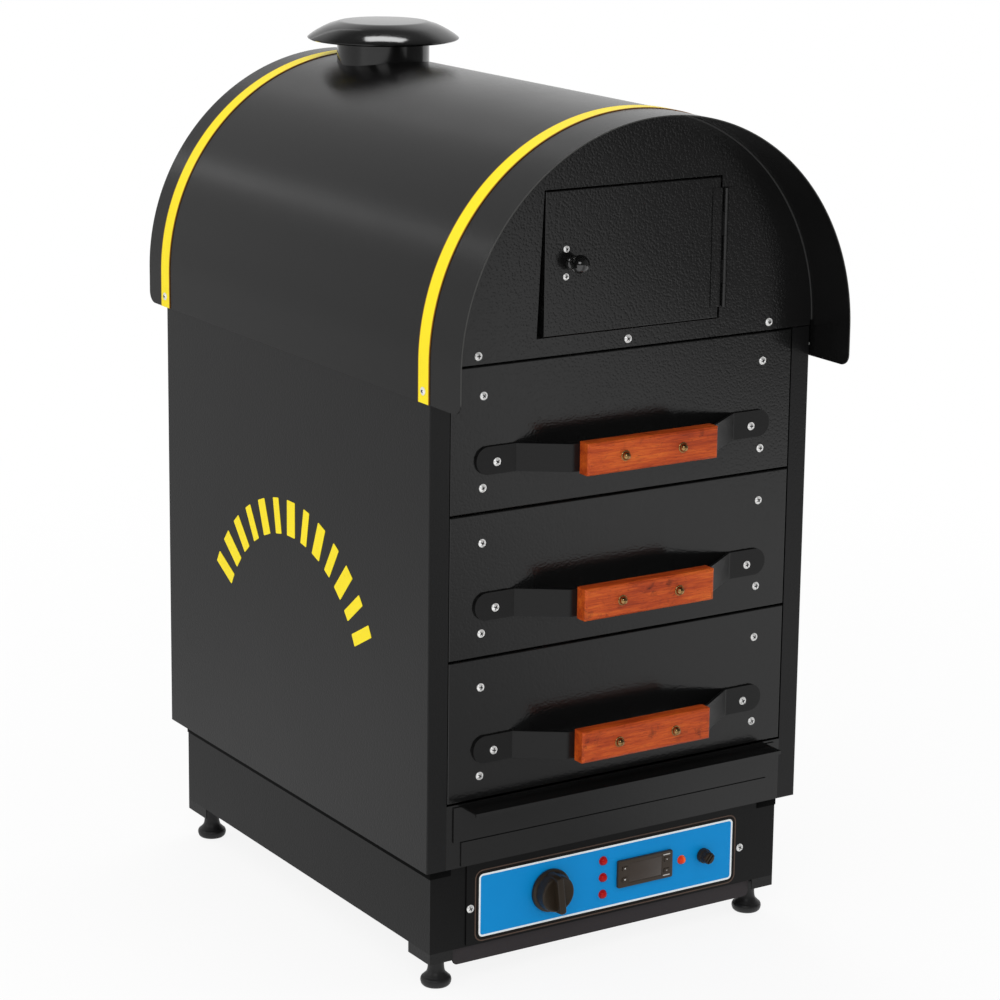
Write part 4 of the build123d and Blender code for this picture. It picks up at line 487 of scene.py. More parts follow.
@dataclass(frozen=True)
class Plastic:
    """Moulded plastic or rubber with a fine sparkle of grain."""

    name: str
    tone: Colour
    roughness: float = 0.45
    specular: float = 0.35
    grain: float = 900.0
    depth: float = 0.00005

    def material(self) -> bpy.types.Material:
        """Return the moulded grain with a slightly uneven tone."""
        shader = Shader(self.name)
        fine = shader.noise(self.grain, 2.0, 0.5)
        cloud = shader.noise(18.0, 4.0, 0.55)
        return shader.finish(Base_Color=shader.shaded(self.tone, 0.84 + cloud * 0.24 + fine * 0.08),
                             Roughness=self.roughness - 0.06 + fine * 0.12, Specular_IOR_Level=self.specular,
                             Normal=shader.bump(fine, self.depth))


@dataclass(frozen=True)
class LampLens:
    """Coloured lens with a brighter heart, faint facets inside and a rim darkened by painted shade."""

    name: str
    tone: Colour
    heart: Colour
    glow: float
    heart_span: Optional[Pair] = None

    def material(self) -> bpy.types.Material:
        """Return the lens, which lights up by the glow's strength."""
        shader = Shader(self.name)
        facets = shader.cells(900.0)
        mottle = shader.noise(320.0, 2.0, 0.5)
        heart = facets.ramp(0.1, 0.7) * 0.5 + mottle * 0.3
        if self.heart_span is not None:
            heart = shader.axis("X").ramp(*self.heart_span) * 0.8 + mottle * 0.2
        # Painted shade: the lens darkens towards its rim as its surface turns away from the view.
        rim = shader.make("LayerWeight", {}, {"Blend": 0.5}, "Facing")
        tone = shader.shaded(shader.blend(heart, self.tone, self.heart), 1.0 - rim.ramp(0.25, 0.85) * 0.55)
        return shader.finish(Base_Color=tone, Emission_Color=tone, Emission_Strength=self.glow,
                             Roughness=0.12 + mottle * 0.06, Normal=shader.bump(facets, 0.00003),
                             Specular_IOR_Level=0.2)


@dataclass(frozen=True)
class Wool:
    """Mineral wool with short crossing fibres."""

    name: str

    def material(self) -> bpy.types.Material:
        """Return matted fibres in two directions with darker binder spots."""
        shader = Shader(self.name)
        ways = (((60.0, 900.0, 900.0), (0.3, 0.5, 0.6)), ((900.0, 70.0, 500.0), (0.9, 0.2, 0.4)))
        first, second = (shader.noise(1.0, 4.0, 0.7, 0.8, shader.stretched(*way)) for way in ways)
        fibres = first.at_least(second)
        spots = shader.noise(70.0, 3.0, 0.6).ramp(0.6, 0.75)
        tone = shader.colours(fibres, ((0.3, (0.33, 0.27, 0.14)), (0.75, (0.74, 0.68, 0.46))))
        return shader.finish(Base_Color=shader.shaded(tone, 1.0 - spots * 0.3), Roughness=0.95,
                             Normal=shader.bump(fibres, 0.0006))


Finish = Union[PowderCoat, Enamel, VarnishedWood, Metal, YellowStrip, PrintedFilm, Plastic, LampLens, Wool]


@cache
def material_of(finish: Finish) -> bpy.types.Material:
    """Return a finish's material, made once."""
    return finish.material()


FRONT_FACE = -286.0
HOOD_FRONT = -351.5
ARCH_CENTRE = 698.5
TRIM_MIDDLES = (-280.5, 308.5)
CLOUDED: Point = (300.0, 300.0, 300.0)
DARK_BROWN: Colour = (0.044, 0.032, 0.023)

# The hood coat paints a highlight along the hood's front edge; the front coat paints one round the arch's
# rim.
HOOD_COAT = PowderCoat("hood_coat", grey(0.0054), 0.22, depth=0.00012, front_highlight_y=HOOD_FRONT)
WALL_COAT = PowderCoat("wall_coat", (0.0052, 0.0052, 0.0054), 0.31, depth=0.00010)
FRONT_COAT = PowderCoat("front_coat", grey(0.0056), 0.15, 370.0, 0.00010, 0.48, rim_highlight=(ARCH_CENTRE, 246.6))
BASE_COAT = PowderCoat("base_coat", (0.0042, 0.0042, 0.0043), 0.33, depth=0.00008, specular=0.17)
STRAP_COAT = PowderCoat("strap_coat", grey(0.006), 0.32, 600.0, 0.00006)
PAN_COAT = PowderCoat("pan_coat", (0.034, 0.029, 0.031), 0.5, depth=0.00006, specular=0.2)
BRACKET_COAT = PowderCoat("bracket_coat", (0.010, 0.010, 0.0101), 0.45)
FLUE_COAT = Enamel("flue_coat", (0.006, 0.006, 0.0061), 0.16, coat=0.1)
CAP_ENAMEL = Enamel("cap_enamel", grey(0.005), 0.12, coat=0.1)
DOOR_KNOB_BLACK = Enamel("door_knob_black", grey(0.006), 0.12, coat=0.9)
WINDOW_PLASTIC = Enamel("window_plastic", (0.042, 0.029, 0.021), 0.24, coat=0.1)
GRIP_WOOD = VarnishedWood("grip_wood")
ZINC = Metal("bright_zinc", (0.94, 0.94, 0.93), 0.30, CLOUDED, metallic=0.5)
# Painted shade: the dark tone put in the screws' cross recesses.
RECESS_SHADE = Metal("recess_painted_shade", (0.035, 0.034, 0.033), 0.6, CLOUDED)
BRASS = Metal("dull_brass", (0.42, 0.25, 0.10), 0.20, CLOUDED, (0.12, 0.06, 0.03), 0.8)
SHEET_STEEL = Metal("oven_steel", (0.55, 0.54, 0.52), 0.38)
SHEATH = Metal("element_sheath", (0.30, 0.28, 0.26), 0.42, stain=(0.12, 0.07, 0.05), stained=0.7)
TRIM_YELLOW = YellowStrip("trim_yellow", TRIM_MIDDLES)
BAR_YELLOW = YellowStrip("bar_yellow")
FILM_PRINT = PrintedFilm("overlay_film", 172.5, 38.75, 89.4, 8.0)
# Painted shadow: the black of the band under the cabinet's overhang.
SHADOW_BAND_BLACK = Plastic("painted_shadow_band", grey(0.0025), 0.7, 0.05)
FILM_EDGE = Plastic("film_edge", (0.085, 0.050, 0.034), 0.5)
KNOB_PHENOLIC = Plastic("knob_phenolic", (0.026, 0.018, 0.011), 0.30, 0.30)
FOOT_PLASTIC = Plastic("foot_plastic", (0.015, 0.015, 0.0155), 0.42)
CASE_PLASTIC = Plastic("case_plastic", DARK_BROWN, 0.30, 0.3)
KEY_RUBBER = Plastic("key_rubber", DARK_BROWN, 0.40, 0.3)
MARK_PALE = Plastic("mark_pale", (0.62, 0.60, 0.57), 0.5)
SWITCH_PLASTIC = Plastic("switch_plastic", (0.03, 0.03, 0.031), 0.5)
# The unlit lenses glow faintly and are brighter in the heart: painted glow and painted highlight on lamps
# that are off.
LENS_RED = LampLens("lens_red", (0.33, 0.003, 0.003), (0.52, 0.010, 0.010), 0.12)
LENS_LIT = LampLens("lens_lit", (0.46, 0.018, 0.006), (0.80, 0.150, 0.030), 0.5, (0.0972, 0.1015))
WOOL = Wool("mineral_wool")


# ------------ bench tools
def alone(*pieces: Piece) -> None:
    """Select pieces and nothing else.

    Args:
        pieces: what is selected; the first one becomes active.
    """
    bpy.ops.object.select_all(action="DESELECT")
    for piece in pieces:
        piece.select_set(True)
    bpy.context.view_layer.objects.active = pieces[0]


def start(add: Callable[..., set], **settings: object) -> Piece:
    """Deselect everything and add a primitive.

    Args:
        add: one of bpy.ops.mesh's primitives.
        settings: its options, in metres.

    Returns:
        The new object.
    """
    bpy.ops.object.select_all(action="DESELECT")
    add(**settings)
    return bpy.context.view_layer.objects.active


@contextmanager
def editing(piece: Piece) -> Iterator[None]:
    """Open a piece in edit mode with nothing selected, and close it after.

    Args:
        piece: the object to edit.

    Returns:
        A context.
    """
    alone(piece)
    bpy.ops.object.mode_set(mode="EDIT")
    bpy.ops.mesh.select_mode(type="VERT")
    bpy.ops.mesh.select_all(action="DESELECT")
    yield
    bpy.ops.object.mode_set(mode="OBJECT")


def pick(piece: Piece, part: Part, test: Callable[..., bool]) -> None:
    """Select the verts or edges of the open piece that pass a test.

    Args:
        piece: the piece in edit mode.
        part: what is selected.
        test: takes a vertex's place, or an edge's middle and direction.
    """
    bpy.ops.mesh.select_mode(type=part.value)
    bpy.ops.mesh.select_all(action="DESELECT")
    mesh = bmesh.from_edit_mesh(piece.data)
    for element in mesh.verts if part is Part.VERTS else mesh.edges:
        if part is Part.VERTS:
            chosen = test(element.co)
        else:
            first, last = (vertex.co for vertex in element.verts)
            chosen = test((first + last) / 2, (last - first).normalized())
        if chosen:
            element.select_set(True)
    mesh.select_flush_mode()
    bmesh.update_edit_mesh(piece.data)


def modified(piece: Piece, kind: str, **settings: object) -> Piece:
    """Add a modifier and apply it.

    Args:
        piece: the object to change.
        kind: the modifier's type.
        settings: its options.

    Returns:
        The same object.
    """
    alone(piece)
    modifier = piece.modifiers.new(kind.lower(), kind)
    for key, value in settings.items():
        setattr(modifier, key, value)
    bpy.ops.object.modifier_apply(modifier=modifier.name)
    return piece


def smoothed(piece: Piece, angle: float = SHARP_ANGLE) -> Piece:
    """Shade a piece smooth except at its sharp edges.

    Args:
        piece: the object to change.
        angle: turn in degrees from which an edge stays sharp.

    Returns:
        The same object.
    """
    alone(piece)
    bpy.ops.object.shade_smooth_by_angle(angle=math.radians(angle))
    return piece


def softened(piece: Piece, width: float, segments: int = 2, angle: float = SHARP_ANGLE) -> Piece:
    """Round the sharp edges of a piece and shade it smooth.

    Args:
        piece: the object to change.
        width: the rounding in mm.
        segments: its divisions.
        angle: turn in degrees from which an edge counts as sharp.

    Returns:
        The same object.
    """
    modified(piece, "BEVEL", width=width * MM, segments=segments, limit_method="ANGLE",
             angle_limit=math.radians(angle))
    return smoothed(piece, EASED_ANGLE)


def evened(piece: Piece) -> Piece:
    """Weigh a piece's normals by face area, so that its large faces mirror evenly up to their eased edges."""
    return modified(piece, "WEIGHTED_NORMAL", mode="FACE_AREA", weight=100, keep_sharp=True)


def cut(piece: Piece, tool: Piece, operation: str = "DIFFERENCE") -> Piece:
    """Cut a tool out of a piece, or add it, and throw the tool away.

    Args:
        piece: the object to change.
        tool: the closed shape to cut with.
        operation: DIFFERENCE or UNION.

    Returns:
        The same object.
    """
    modified(piece, "BOOLEAN", object=tool, operation=operation, solver="EXACT")
    bpy.data.objects.remove(tool)
    return piece


def settled(piece: Piece) -> Piece:
    """Bake an object's place into its mesh.

    Args:
        piece: the object to change.

    Returns:
        The same object, at the origin.
    """
    alone(piece)
    bpy.ops.object.transform_apply(location=True, rotation=True, scale=True)
    return piece


def joined(pieces: Sequence[Piece]) -> Piece:
    """Join pieces into the first one.

    Args:
        pieces: what is joined.

    Returns:
        The joined piece, at the origin.
    """
    alone(*pieces)
    bpy.ops.object.join()
    return settled(pieces[0])


def block(low: Point, high: Point) -> Piece:
    """Return a box.

    Args:
        low: its lower corner in mm.
        high: its upper corner in mm.

    Returns:
        The closed box.
    """
    middle = [(a + b) / 2 * MM for a, b in zip(low, high)]
    size = [(b - a) * MM for a, b in zip(low, high)]
    return settled(start(bpy.ops.mesh.primitive_cube_add, size=1.0, location=middle, scale=size))


def slab(middle: Pair, half: Pair, front: float, back: float) -> Piece:
    """Return an upright box from its middle and half size in x and z, and its front and back y, in mm."""
    (x, z), (half_x, half_z) = middle, half
    return block((x - half_x, front, z - half_z), (x + half_x, back, z + half_z))


def rod(radius: float, foot: Point, length: float, face: Face, sides: int = 48) -> Piece:
    """Return a cylinder.

    Args:
        radius: in mm.
        foot: middle of the end that it starts from, in mm.
        length: in mm.
        face: the way it points.
        sides: number of its sides.

    Returns:
        The closed cylinder.
    """
    piece = settled(start(bpy.ops.mesh.primitive_cylinder_add, vertices=sides, radius=radius * MM,
                          depth=length * MM, location=(0.0, 0.0, length / 2 * MM)))
    piece.data.transform(shift(*foot) @ face.matrix)
    return piece


def rounded(piece: Piece, radius: float, segments: int, letter: str) -> None:
    """Round the edges of a box that run along an axis.

    Args:
        piece: the box.
        radius: in mm.
        segments: divisions of the rounding.
        letter: the axis.
    """
    with editing(piece):
        pick(piece, Part.EDGES, lambda co, way: abs(getattr(way, letter)) > 0.9)
        bpy.ops.mesh.bevel(offset=radius * MM, segments=segments, affect="EDGES")


def arc(centre: Pair, radius: float, begin: float, end: float, steps: int) -> Profile:
    """Return points on an arc.

    Args:
        centre: middle of the arc in mm.
        radius: in mm.
        begin: first angle in degrees, from the profile's first axis.
        end: last angle in degrees.
        steps: number of divisions.

    Returns:
        The points, both ends included.
    """
    angles = [math.radians(begin + (end - begin) * step / steps) for step in range(steps + 1)]
    return [(centre[0] + radius * math.cos(a), centre[1] + radius * math.sin(a)) for a in angles]


def turned(profile: Profile, steps: int = 56) -> Piece:
    """Spin a profile of (radius, height) points round the Z axis.

    Args:
        profile: points in mm, which start and end on the axis.
        steps: divisions of the turn.

    Returns:
        A closed, smooth-shaded piece at the origin.
    """
    piece = start(bpy.ops.mesh.primitive_plane_add, size=2.0)
    with editing(piece):
        pick(piece, Part.VERTS, lambda co: not (co.x > 0 and co.y > 0))
        bpy.ops.mesh.delete(type="VERT")
        pick(piece, Part.VERTS, lambda co: True)
        points = [Vector((radius * MM, 0.0, height * MM)) for radius, height in profile]
        bpy.ops.transform.translate(value=points[0] - Vector((1.0, 1.0, 0.0)))
        for here, there in zip(points, points[1:]):
            bpy.ops.mesh.extrude_region_move(TRANSFORM_OT_translate={"value": there - here})
        bpy.ops.mesh.select_all(action="SELECT")
        bpy.ops.mesh.spin(steps=steps, angle=2 * math.pi, center=(0.0, 0.0, 0.0), axis=(0.0, 0.0, 1.0))
        bpy.ops.mesh.select_all(action="SELECT")
        bpy.ops.mesh.remove_doubles(threshold=0.004 * MM)
        bpy.ops.mesh.dissolve_degenerate(threshold=0.001 * MM)
        bpy.ops.mesh.select_all(action="SELECT")
        bpy.ops.mesh.normals_make_consistent(inside=False)
    return settled(smoothed(piece))


def linked(name: str, data: bpy.types.ID) -> Piece:
    """Put a mesh, a lamp or a camera in the scene.

    Args:
        name: the object's name.
        data: what it shows.

    Returns:
        The new object.
    """
    thing = bpy.data.objects.new(name, data)
    bpy.context.scene.collection.objects.link(thing)
    return thing


def placed(model: Piece, spot: Point, face: Face, twist: float = 0.0) -> Piece:
    """Copy a model that points along +Z to a spot.

    Args:
        model: the piece to copy.
        spot: where the model's origin goes, in mm.
        face: the way it points.
        twist: turn about its own axis first, in degrees.

    Returns:
        The copy, with its own mesh and an object at the origin.
    """
    copy = linked(model.name, model.data.copy())
    copy.data.transform(shift(*spot) @ face.matrix @ turn(twist, "Z"))
    return copy


def dressed(name: str, piece: Piece, finish: Finish, slot: str, *nodes: str, body: str = "cabinet") -> None:
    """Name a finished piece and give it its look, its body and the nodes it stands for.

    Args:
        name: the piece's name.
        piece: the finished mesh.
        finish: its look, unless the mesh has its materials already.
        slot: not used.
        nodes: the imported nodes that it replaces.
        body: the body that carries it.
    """
    piece.name = piece.data.name = name
    if not piece.data.materials:
        piece.data.materials.append(material_of(finish))
    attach(piece, body)
    if nodes:
        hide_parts(*nodes)
    LOG.info("made %s on %s: %d faces", name, body, len(piece.data.polygons))


# ------------ fasteners
@dataclass
class Fasteners:
    """The pan-head screw, the domed nut with its bolt, and where the casing's screws sit."""

    head_radius: float = 4.5
    head_height: float = 2.2
    head_crown: float = 5.4
    shank_radius: float = 2.0
    shank: float = 9.0
    short_shank: float = 3.4
    arm: float = 4.6
    arm_width: float = 1.25
    arm_depth: float = 1.2
    recess_slack: float = 0.02
    dome_radius: float = 4.6
    washer_radius: float = 5.8
    bolt_radius: float = 2.5
    bolt_length: float = 23.0
    arch_x: float = 187.5
    arch_z: float = 701.4
    plate_x: float = 180.8
    plate_z: float = 88.5
    back_x: float = 225.0
    back_levels: tuple[float, ...] = (165.0, 415.0, 651.5)
    trim_x: float = 250.2
    trim_z: float = 670.5
    plate_y: float = -271.0
    back_y: float = 314.0
    twist: float = 37.0

    def screw(self, shank: float) -> Piece:
        """Return a pan-head screw with a cross recess, its seat on the XY plane, pointing to +Z.

        Args:
            shank: length under the head, in mm.

        Returns:
            The screw, bright, with painted shade in its cross recess.
        """
        height, radius, core = self.head_height, self.head_radius, self.shank_radius
        dome = arc((0.0, height - self.head_crown), self.head_crown, 90.0, 41.0, 5)
        rim = [(radius, 0.75), (radius, 0.0), (core, 0.0), (core, -shank + 0.8), (core * 0.5, -shank),
               (0.0, -shank)]
        piece = turned(dome + rim, steps=28)
        floor = height - self.arm_depth
        for length, width in ((self.arm, self.arm_width), (self.arm_width, self.arm)):
            cut(piece, block((-length / 2, -width / 2, floor), (length / 2, width / 2, height + 1.0)))
        smoothed(piece)
        # The cross recess gets the dark material: painted shade.
        for finish in (ZINC, RECESS_SHADE):
            piece.data.materials.append(material_of(finish))
        for face in piece.data.polygons:
            x, y, z = face.center / MM
            near = max(abs(x), abs(y)) <= self.arm / 2 + self.recess_slack
            sunk = abs(face.normal.z) < 0.3 or z < floor + self.recess_slack
            face.material_index = int(near and sunk and z > 0.8)
        return piece

    def domed_nut(self) -> Piece:
        """Return a domed nut on its washer, with the bolt through the grip behind it."""
        dome, washer, bolt, end = self.dome_radius, self.washer_radius, self.bolt_radius, -self.bolt_length
        rest = [(dome + 0.15, 0.9), (washer - 0.3, 0.8), (washer, 0.5), (washer, 0.0), (bolt, 0.0),
                (bolt, end), (dome, end), (dome, end - 2.2), (dome - 0.5, end - 2.5), (0.0, end - 2.5)]
        return turned(arc((0.0, 1.6), dome, 90.0, 0.0, 9) + rest, steps=40)

    def casing(self, long_screw: Piece, short_screw: Piece) -> Piece:
        """Return all the screws of the casing as one piece.

        Args:
            long_screw: model for sheet against sheet.
            short_screw: model for the strips on the hood.

        Returns:
            The joined screws.
        """
        front = [(side * self.arch_x, FRONT_FACE, self.arch_z) for side in (-1, 0, 1)]
        front += [(side * self.plate_x, self.plate_y, self.plate_z) for side in SIDES]
        back = [(side * self.back_x, self.back_y, z) for side in SIDES for z in self.back_levels]
        spots = [(long_screw, spot, Face.FRONT) for spot in front]
        spots += [(long_screw, spot, Face.BACK) for spot in back]
        spots += [(short_screw, (side * self.trim_x, y, self.trim_z), Face.LEFT if side < 0 else Face.RIGHT)
                  for side in SIDES for y in TRIM_MIDDLES]
        return joined([placed(*spot, self.twist * index) for index, spot in enumerate(spots)])


# ------------ hood and flue
@dataclass
class Hood:
    """Barrel hood with its strips, the pipe through it and the cap."""

    radius: float = 249.2
    axis_z: float = ARCH_CENTRE
    skirt: float = 41.0
    half_length: float = -HOOD_FRONT
    sheet: float = 1.2
    corner: float = 13.0
    strip_half: float = 11.0
    strip_sheet: float = 1.0
    flue_y: float = 230.0
    pipe_radius: float = 54.5
    pipe_wall: float = 1.5
    pipe_foot: float = 910.7
    pipe_top: float = 967.7
    pipe_sides: int = 112
    cap_radius: float = 89.5
    cap_flat: float = 48.0
    cap_fall: float = 22.0
    cap_rim: float = 972.7
    cap_top: float = 991.2
    cap_sheet: float = 1.5
    leg_angles: tuple[float, ...] = (0.0, 120.0, 240.0)
    leg_half: float = 7.0
    leg_foot: float = 949.7
    leg_inset: float = 2.2
    steps: int = 120

    def arch(self, radius: float, low_y: float, high_y: float, sheet: float, corner: float = 0.0) -> Piece:
        """Return a bent sheet with straight skirts under a half round.

        Args:
            radius: outside radius in mm.
            low_y: front edge.
            high_y: rear edge.
            sheet: thickness, grown inwards.
            corner: rounding of the skirt's corners.

        Returns:
            The closed sheet.
        """
        foot = (self.axis_z - self.skirt) * MM
        piece = start(bpy.ops.mesh.primitive_plane_add, size=1.0)
        with editing(piece):
            pick(piece, Part.VERTS, lambda co: co.x > 0)
            bpy.ops.mesh.delete(type="VERT")
            pick(piece, Part.VERTS, lambda co: True)
            bpy.ops.transform.resize(value=(1.0, (high_y - low_y) * MM, 1.0))
            bpy.ops.transform.translate(value=(0.5 - radius * MM, (low_y + high_y) / 2 * MM, foot))
            bpy.ops.mesh.extrude_region_move(TRANSFORM_OT_translate={"value": (0.0, 0.0, self.skirt * MM)})
            bpy.ops.mesh.spin(steps=self.steps, angle=math.pi, center=(0.0, 0.0, self.axis_z * MM),
                              axis=(0.0, -1.0, 0.0))
            pick(piece, Part.VERTS, lambda co: co.x > (radius - 0.05) * MM)
            bpy.ops.mesh.extrude_region_move(TRANSFORM_OT_translate={"value": (0.0, 0.0, -self.skirt * MM)})
            if corner:
                pick(piece, Part.VERTS, lambda co: co.z < foot + 0.05 * MM)
                bpy.ops.mesh.bevel(offset=corner * MM, segments=7, affect="VERTICES")
            bpy.ops.mesh.select_all(action="SELECT")
            bpy.ops.mesh.remove_doubles(threshold=0.005 * MM)
            bpy.ops.mesh.normals_make_consistent(inside=False)
        settled(piece)
        if max(piece.data.polygons, key=lambda face: face.center.z).normal.z < 0:
            piece.data.flip_normals()
        return modified(piece, "SOLIDIFY", thickness=sheet * MM, offset=-1.0)

    def cap(self) -> Piece:
        """Return the cap: flat crown, rounded fall, flared rim, and legs that stand in the pipe."""
        flat, top, rim = self.cap_flat, self.cap_top, self.cap_rim
        radius, sheet = self.cap_radius, self.cap_sheet
        crown = [(0.0, top), (flat, top)]
        fall = arc((flat, top - self.cap_fall), self.cap_fall, 90.0, 68.0, 4)[1:]
        brow = [(64.0, rim + 14.6), (71.0, rim + 11.4), (78.0, rim + 7.6), (84.0, rim + 3.8)]
        edge = [(87.8, rim + 1.0), (radius, rim - 0.6), (radius - 0.2, rim - 1.6), (87.2, rim - 2.9),
                (84.0, rim - 3.5), (81.5, rim - 3.6), (81.5, rim - 2.3), (85.8, rim - 1.6)]
        under = [(x - 0.9, z - sheet) for x, z in reversed(fall + brow)]
        inside = [(flat, top - sheet), (0.0, top - sheet)]
        parts = [turned(crown + fall + brow + edge + under + inside, steps=96)]
        inner = self.pipe_radius - self.pipe_wall - self.leg_inset
        for angle in self.leg_angles:
            leg = softened(block((inner, -self.leg_half, self.leg_foot),
                                 (inner + sheet, self.leg_half, rim + 12.5)), 0.4)
            leg.data.transform(turn(angle, "Z"))
            parts.append(leg)
        piece = joined(parts)
        piece.data.transform(shift(0.0, self.flue_y, 0.0))
        return piece

    def pipe(self) -> Piece:
        """Return the open pipe with rolled ends."""
        height = self.pipe_top - self.pipe_foot
        place = (0.0, self.flue_y * MM, (self.pipe_foot + height / 2) * MM)
        piece = settled(start(bpy.ops.mesh.primitive_cylinder_add, vertices=self.pipe_sides, location=place,
                              radius=self.pipe_radius * MM, depth=height * MM, end_fill_type="NOTHING"))
        modified(piece, "SOLIDIFY", thickness=self.pipe_wall * MM, offset=-1.0)
        return evened(softened(piece, 0.5))

    def build(self) -> None:
        """Make and dress the hood, its strips, the pipe and the cap."""
        hood = self.arch(self.radius, -self.half_length, self.half_length, self.sheet, self.corner)
        hole = (0.0, self.flue_y, self.pipe_foot)
        cut(hood, rod(self.pipe_radius + 0.2, hole, 60.0, Face.UP, self.pipe_sides))
        dressed("hood_sheet", evened(softened(hood, 0.35)), HOOD_COAT, "hood_coat", "hood")
        for name, middle in zip(("front_strip", "rear_strip"), TRIM_MIDDLES):
            strip = self.arch(self.radius + self.strip_sheet, middle - self.strip_half,
                              middle + self.strip_half, self.strip_sheet)
            dressed(name, evened(softened(strip, 0.3)), TRIM_YELLOW, "trim_yellow", "hood_trims")
        dressed("flue_pipe_tube", self.pipe(), FLUE_COAT, "flue_coat", "flue_pipe")
        dressed("flue_cap_enamelled", self.cap(), CAP_ENAMEL, "flue_enamel", "flue_cap")


# ------------ warming door
@dataclass
class WarmingDoor:
    """Ball knob and catch of the small door."""

    knob_x: float = -72.0
    middle_z: float = 790.0
    ball: float = 10.0
    reach: float = 24.0
    catch_x: float = -80.5
    catch_half: Pair = (6.0, 22.0)
    catch_sheet: float = 2.0
    catch_hole: float = 3.0
    wall: float = 1.5
    screw_rise: float = 14.7
    screw_scale: float = 0.8
    screw_twist: float = 20.0

    def knob(self) -> Piece:
        """Return the ball on its waisted neck and foot."""
        ball = arc((0.0, self.reach - self.ball), self.ball, 90.0, -48.0, 16)
        neck = [(5.4, 5.4), (5.0, 4.2), (5.6, 3.1), (7.2, 2.4), (7.6, 1.8), (7.6, 0.0), (2.0, 0.0),
                (2.0, -6.0), (0.0, -6.0)]
        return turned(ball + neck)

    def build(self, screw: Piece) -> None:
        """Make and dress the knob and the catch.

        Args:
            screw: the short pan-head screw to copy.
        """
        model = self.knob()
        knob = placed(model, (self.knob_x, FRONT_FACE, self.middle_z), Face.FRONT)
        bpy.data.objects.remove(model)
        dressed("door_ball_knob", knob, DOOR_KNOB_BLACK, "knob_plastic", "door_knob", body="door")
        inner = FRONT_FACE + self.wall
        plate = slab((self.catch_x, self.middle_z), self.catch_half, inner, inner + self.catch_sheet)
        hole = (self.catch_x, inner + self.catch_sheet + 1.0, self.middle_z)
        cut(plate, rod(self.catch_hole, hole, 5.0, Face.FRONT, 24))
        dressed("catch_plate", softened(plate, 0.4), ZINC, "fasteners", "door_catch", body="door")
        screws = []
        for rise in (-self.screw_rise, self.screw_rise):
            spot = (self.catch_x, FRONT_FACE, self.middle_z + rise)
            small = placed(screw, spot, Face.FRONT, self.screw_twist + rise)
            spot = Vector((self.catch_x, FRONT_FACE, 0.0)) * MM
            spot.z = sum((vertex.co.z for vertex in small.data.vertices), 0.0) / len(small.data.vertices)
            shrink = Matrix.Scale(self.screw_scale, 4)
            small.data.transform(Matrix.Translation(spot) @ shrink @ Matrix.Translation(-spot))
            screws.append(small)
        dressed("catch_screws", joined(screws), ZINC, "fasteners", "door_catch", body="door")


# ------------ drawers
@dataclass
class Drawer:
    """One drawer's wooden grip, domed nuts and screws; the folded steel stays as it is packed."""

    number: int
    lowest: float = 217.5
    pitch: float = 158.0
    strap_sheet: float = 3.0
    grip_back: float = -323.0
    grip_depth: float = 17.0
    grip_half: Pair = (84.0, 17.5)
    bevel: float = 2.5
    bolt_hole: float = 2.7
    rise: float = 56.0
    nut_x: float = 37.0
    corner_x: float = 180.5
    corner_rises: Pair = (26.8, 125.4)
    strap_x: float = 165.0
    strap_rise: float = 54.0
    screw_twist: float = 31.0
    drawer_twist: float = 17.0

    @property
    def seam(self) -> float:
        """Height of the seam under this drawer."""
        return self.lowest + (3 - self.number) * self.pitch

    def grip(self) -> Piece:
        """Return the wooden bar: bevelled face, eased edges and bolt holes."""
        middle, front = self.seam + self.rise, self.grip_back - self.grip_depth
        piece = slab((0.0, middle), self.grip_half, front, self.grip_back)
        with editing(piece):
            pick(piece, Part.EDGES, lambda co, way: co.y < (front + 0.1) * MM)
            bpy.ops.mesh.bevel(offset=self.bevel * MM, segments=1, affect="EDGES")
        for side in SIDES:
            hole = (side * self.nut_x, self.grip_back + 1.0, middle)
            cut(piece, rod(self.bolt_hole, hole, self.grip_depth + 2.0, Face.FRONT, 28))
        return evened(softened(piece, 0.55, 3, 25.0))

    def build(self, screw: Piece, nut: Piece) -> None:
        """Make and dress this drawer's small parts.

        Args:
            screw: model of the pan-head screw.
            nut: model of the domed nut and bolt.
        """
        body = f"drawer_{self.number}"
        dressed(f"{body}_wooden_bar", self.grip(), GRIP_WOOD, "grip_wood", f"{body}_grip", body=body)
        spots = [(side * self.corner_x, FRONT_FACE, self.seam + rise)
                 for side in SIDES for rise in self.corner_rises]
        spots += [(side * self.strap_x, FRONT_FACE - self.strap_sheet, self.seam + self.strap_rise)
                  for side in SIDES]
        screws = [placed(screw, spot, Face.FRONT, self.screw_twist * index + self.drawer_twist * self.number)
                  for index, spot in enumerate(spots)]
        dressed(f"{body}_screws", joined(screws), ZINC, "fasteners", f"{body}_fasteners", body=body)
        front = self.grip_back - self.grip_depth
        nuts = [placed(nut, (side * self.nut_x, front, self.seam + self.rise), Face.FRONT) for side in SIDES]
        dressed(f"{body}_domed_nuts", joined(nuts), BRASS, "fasteners", f"{body}_fasteners", body=body)


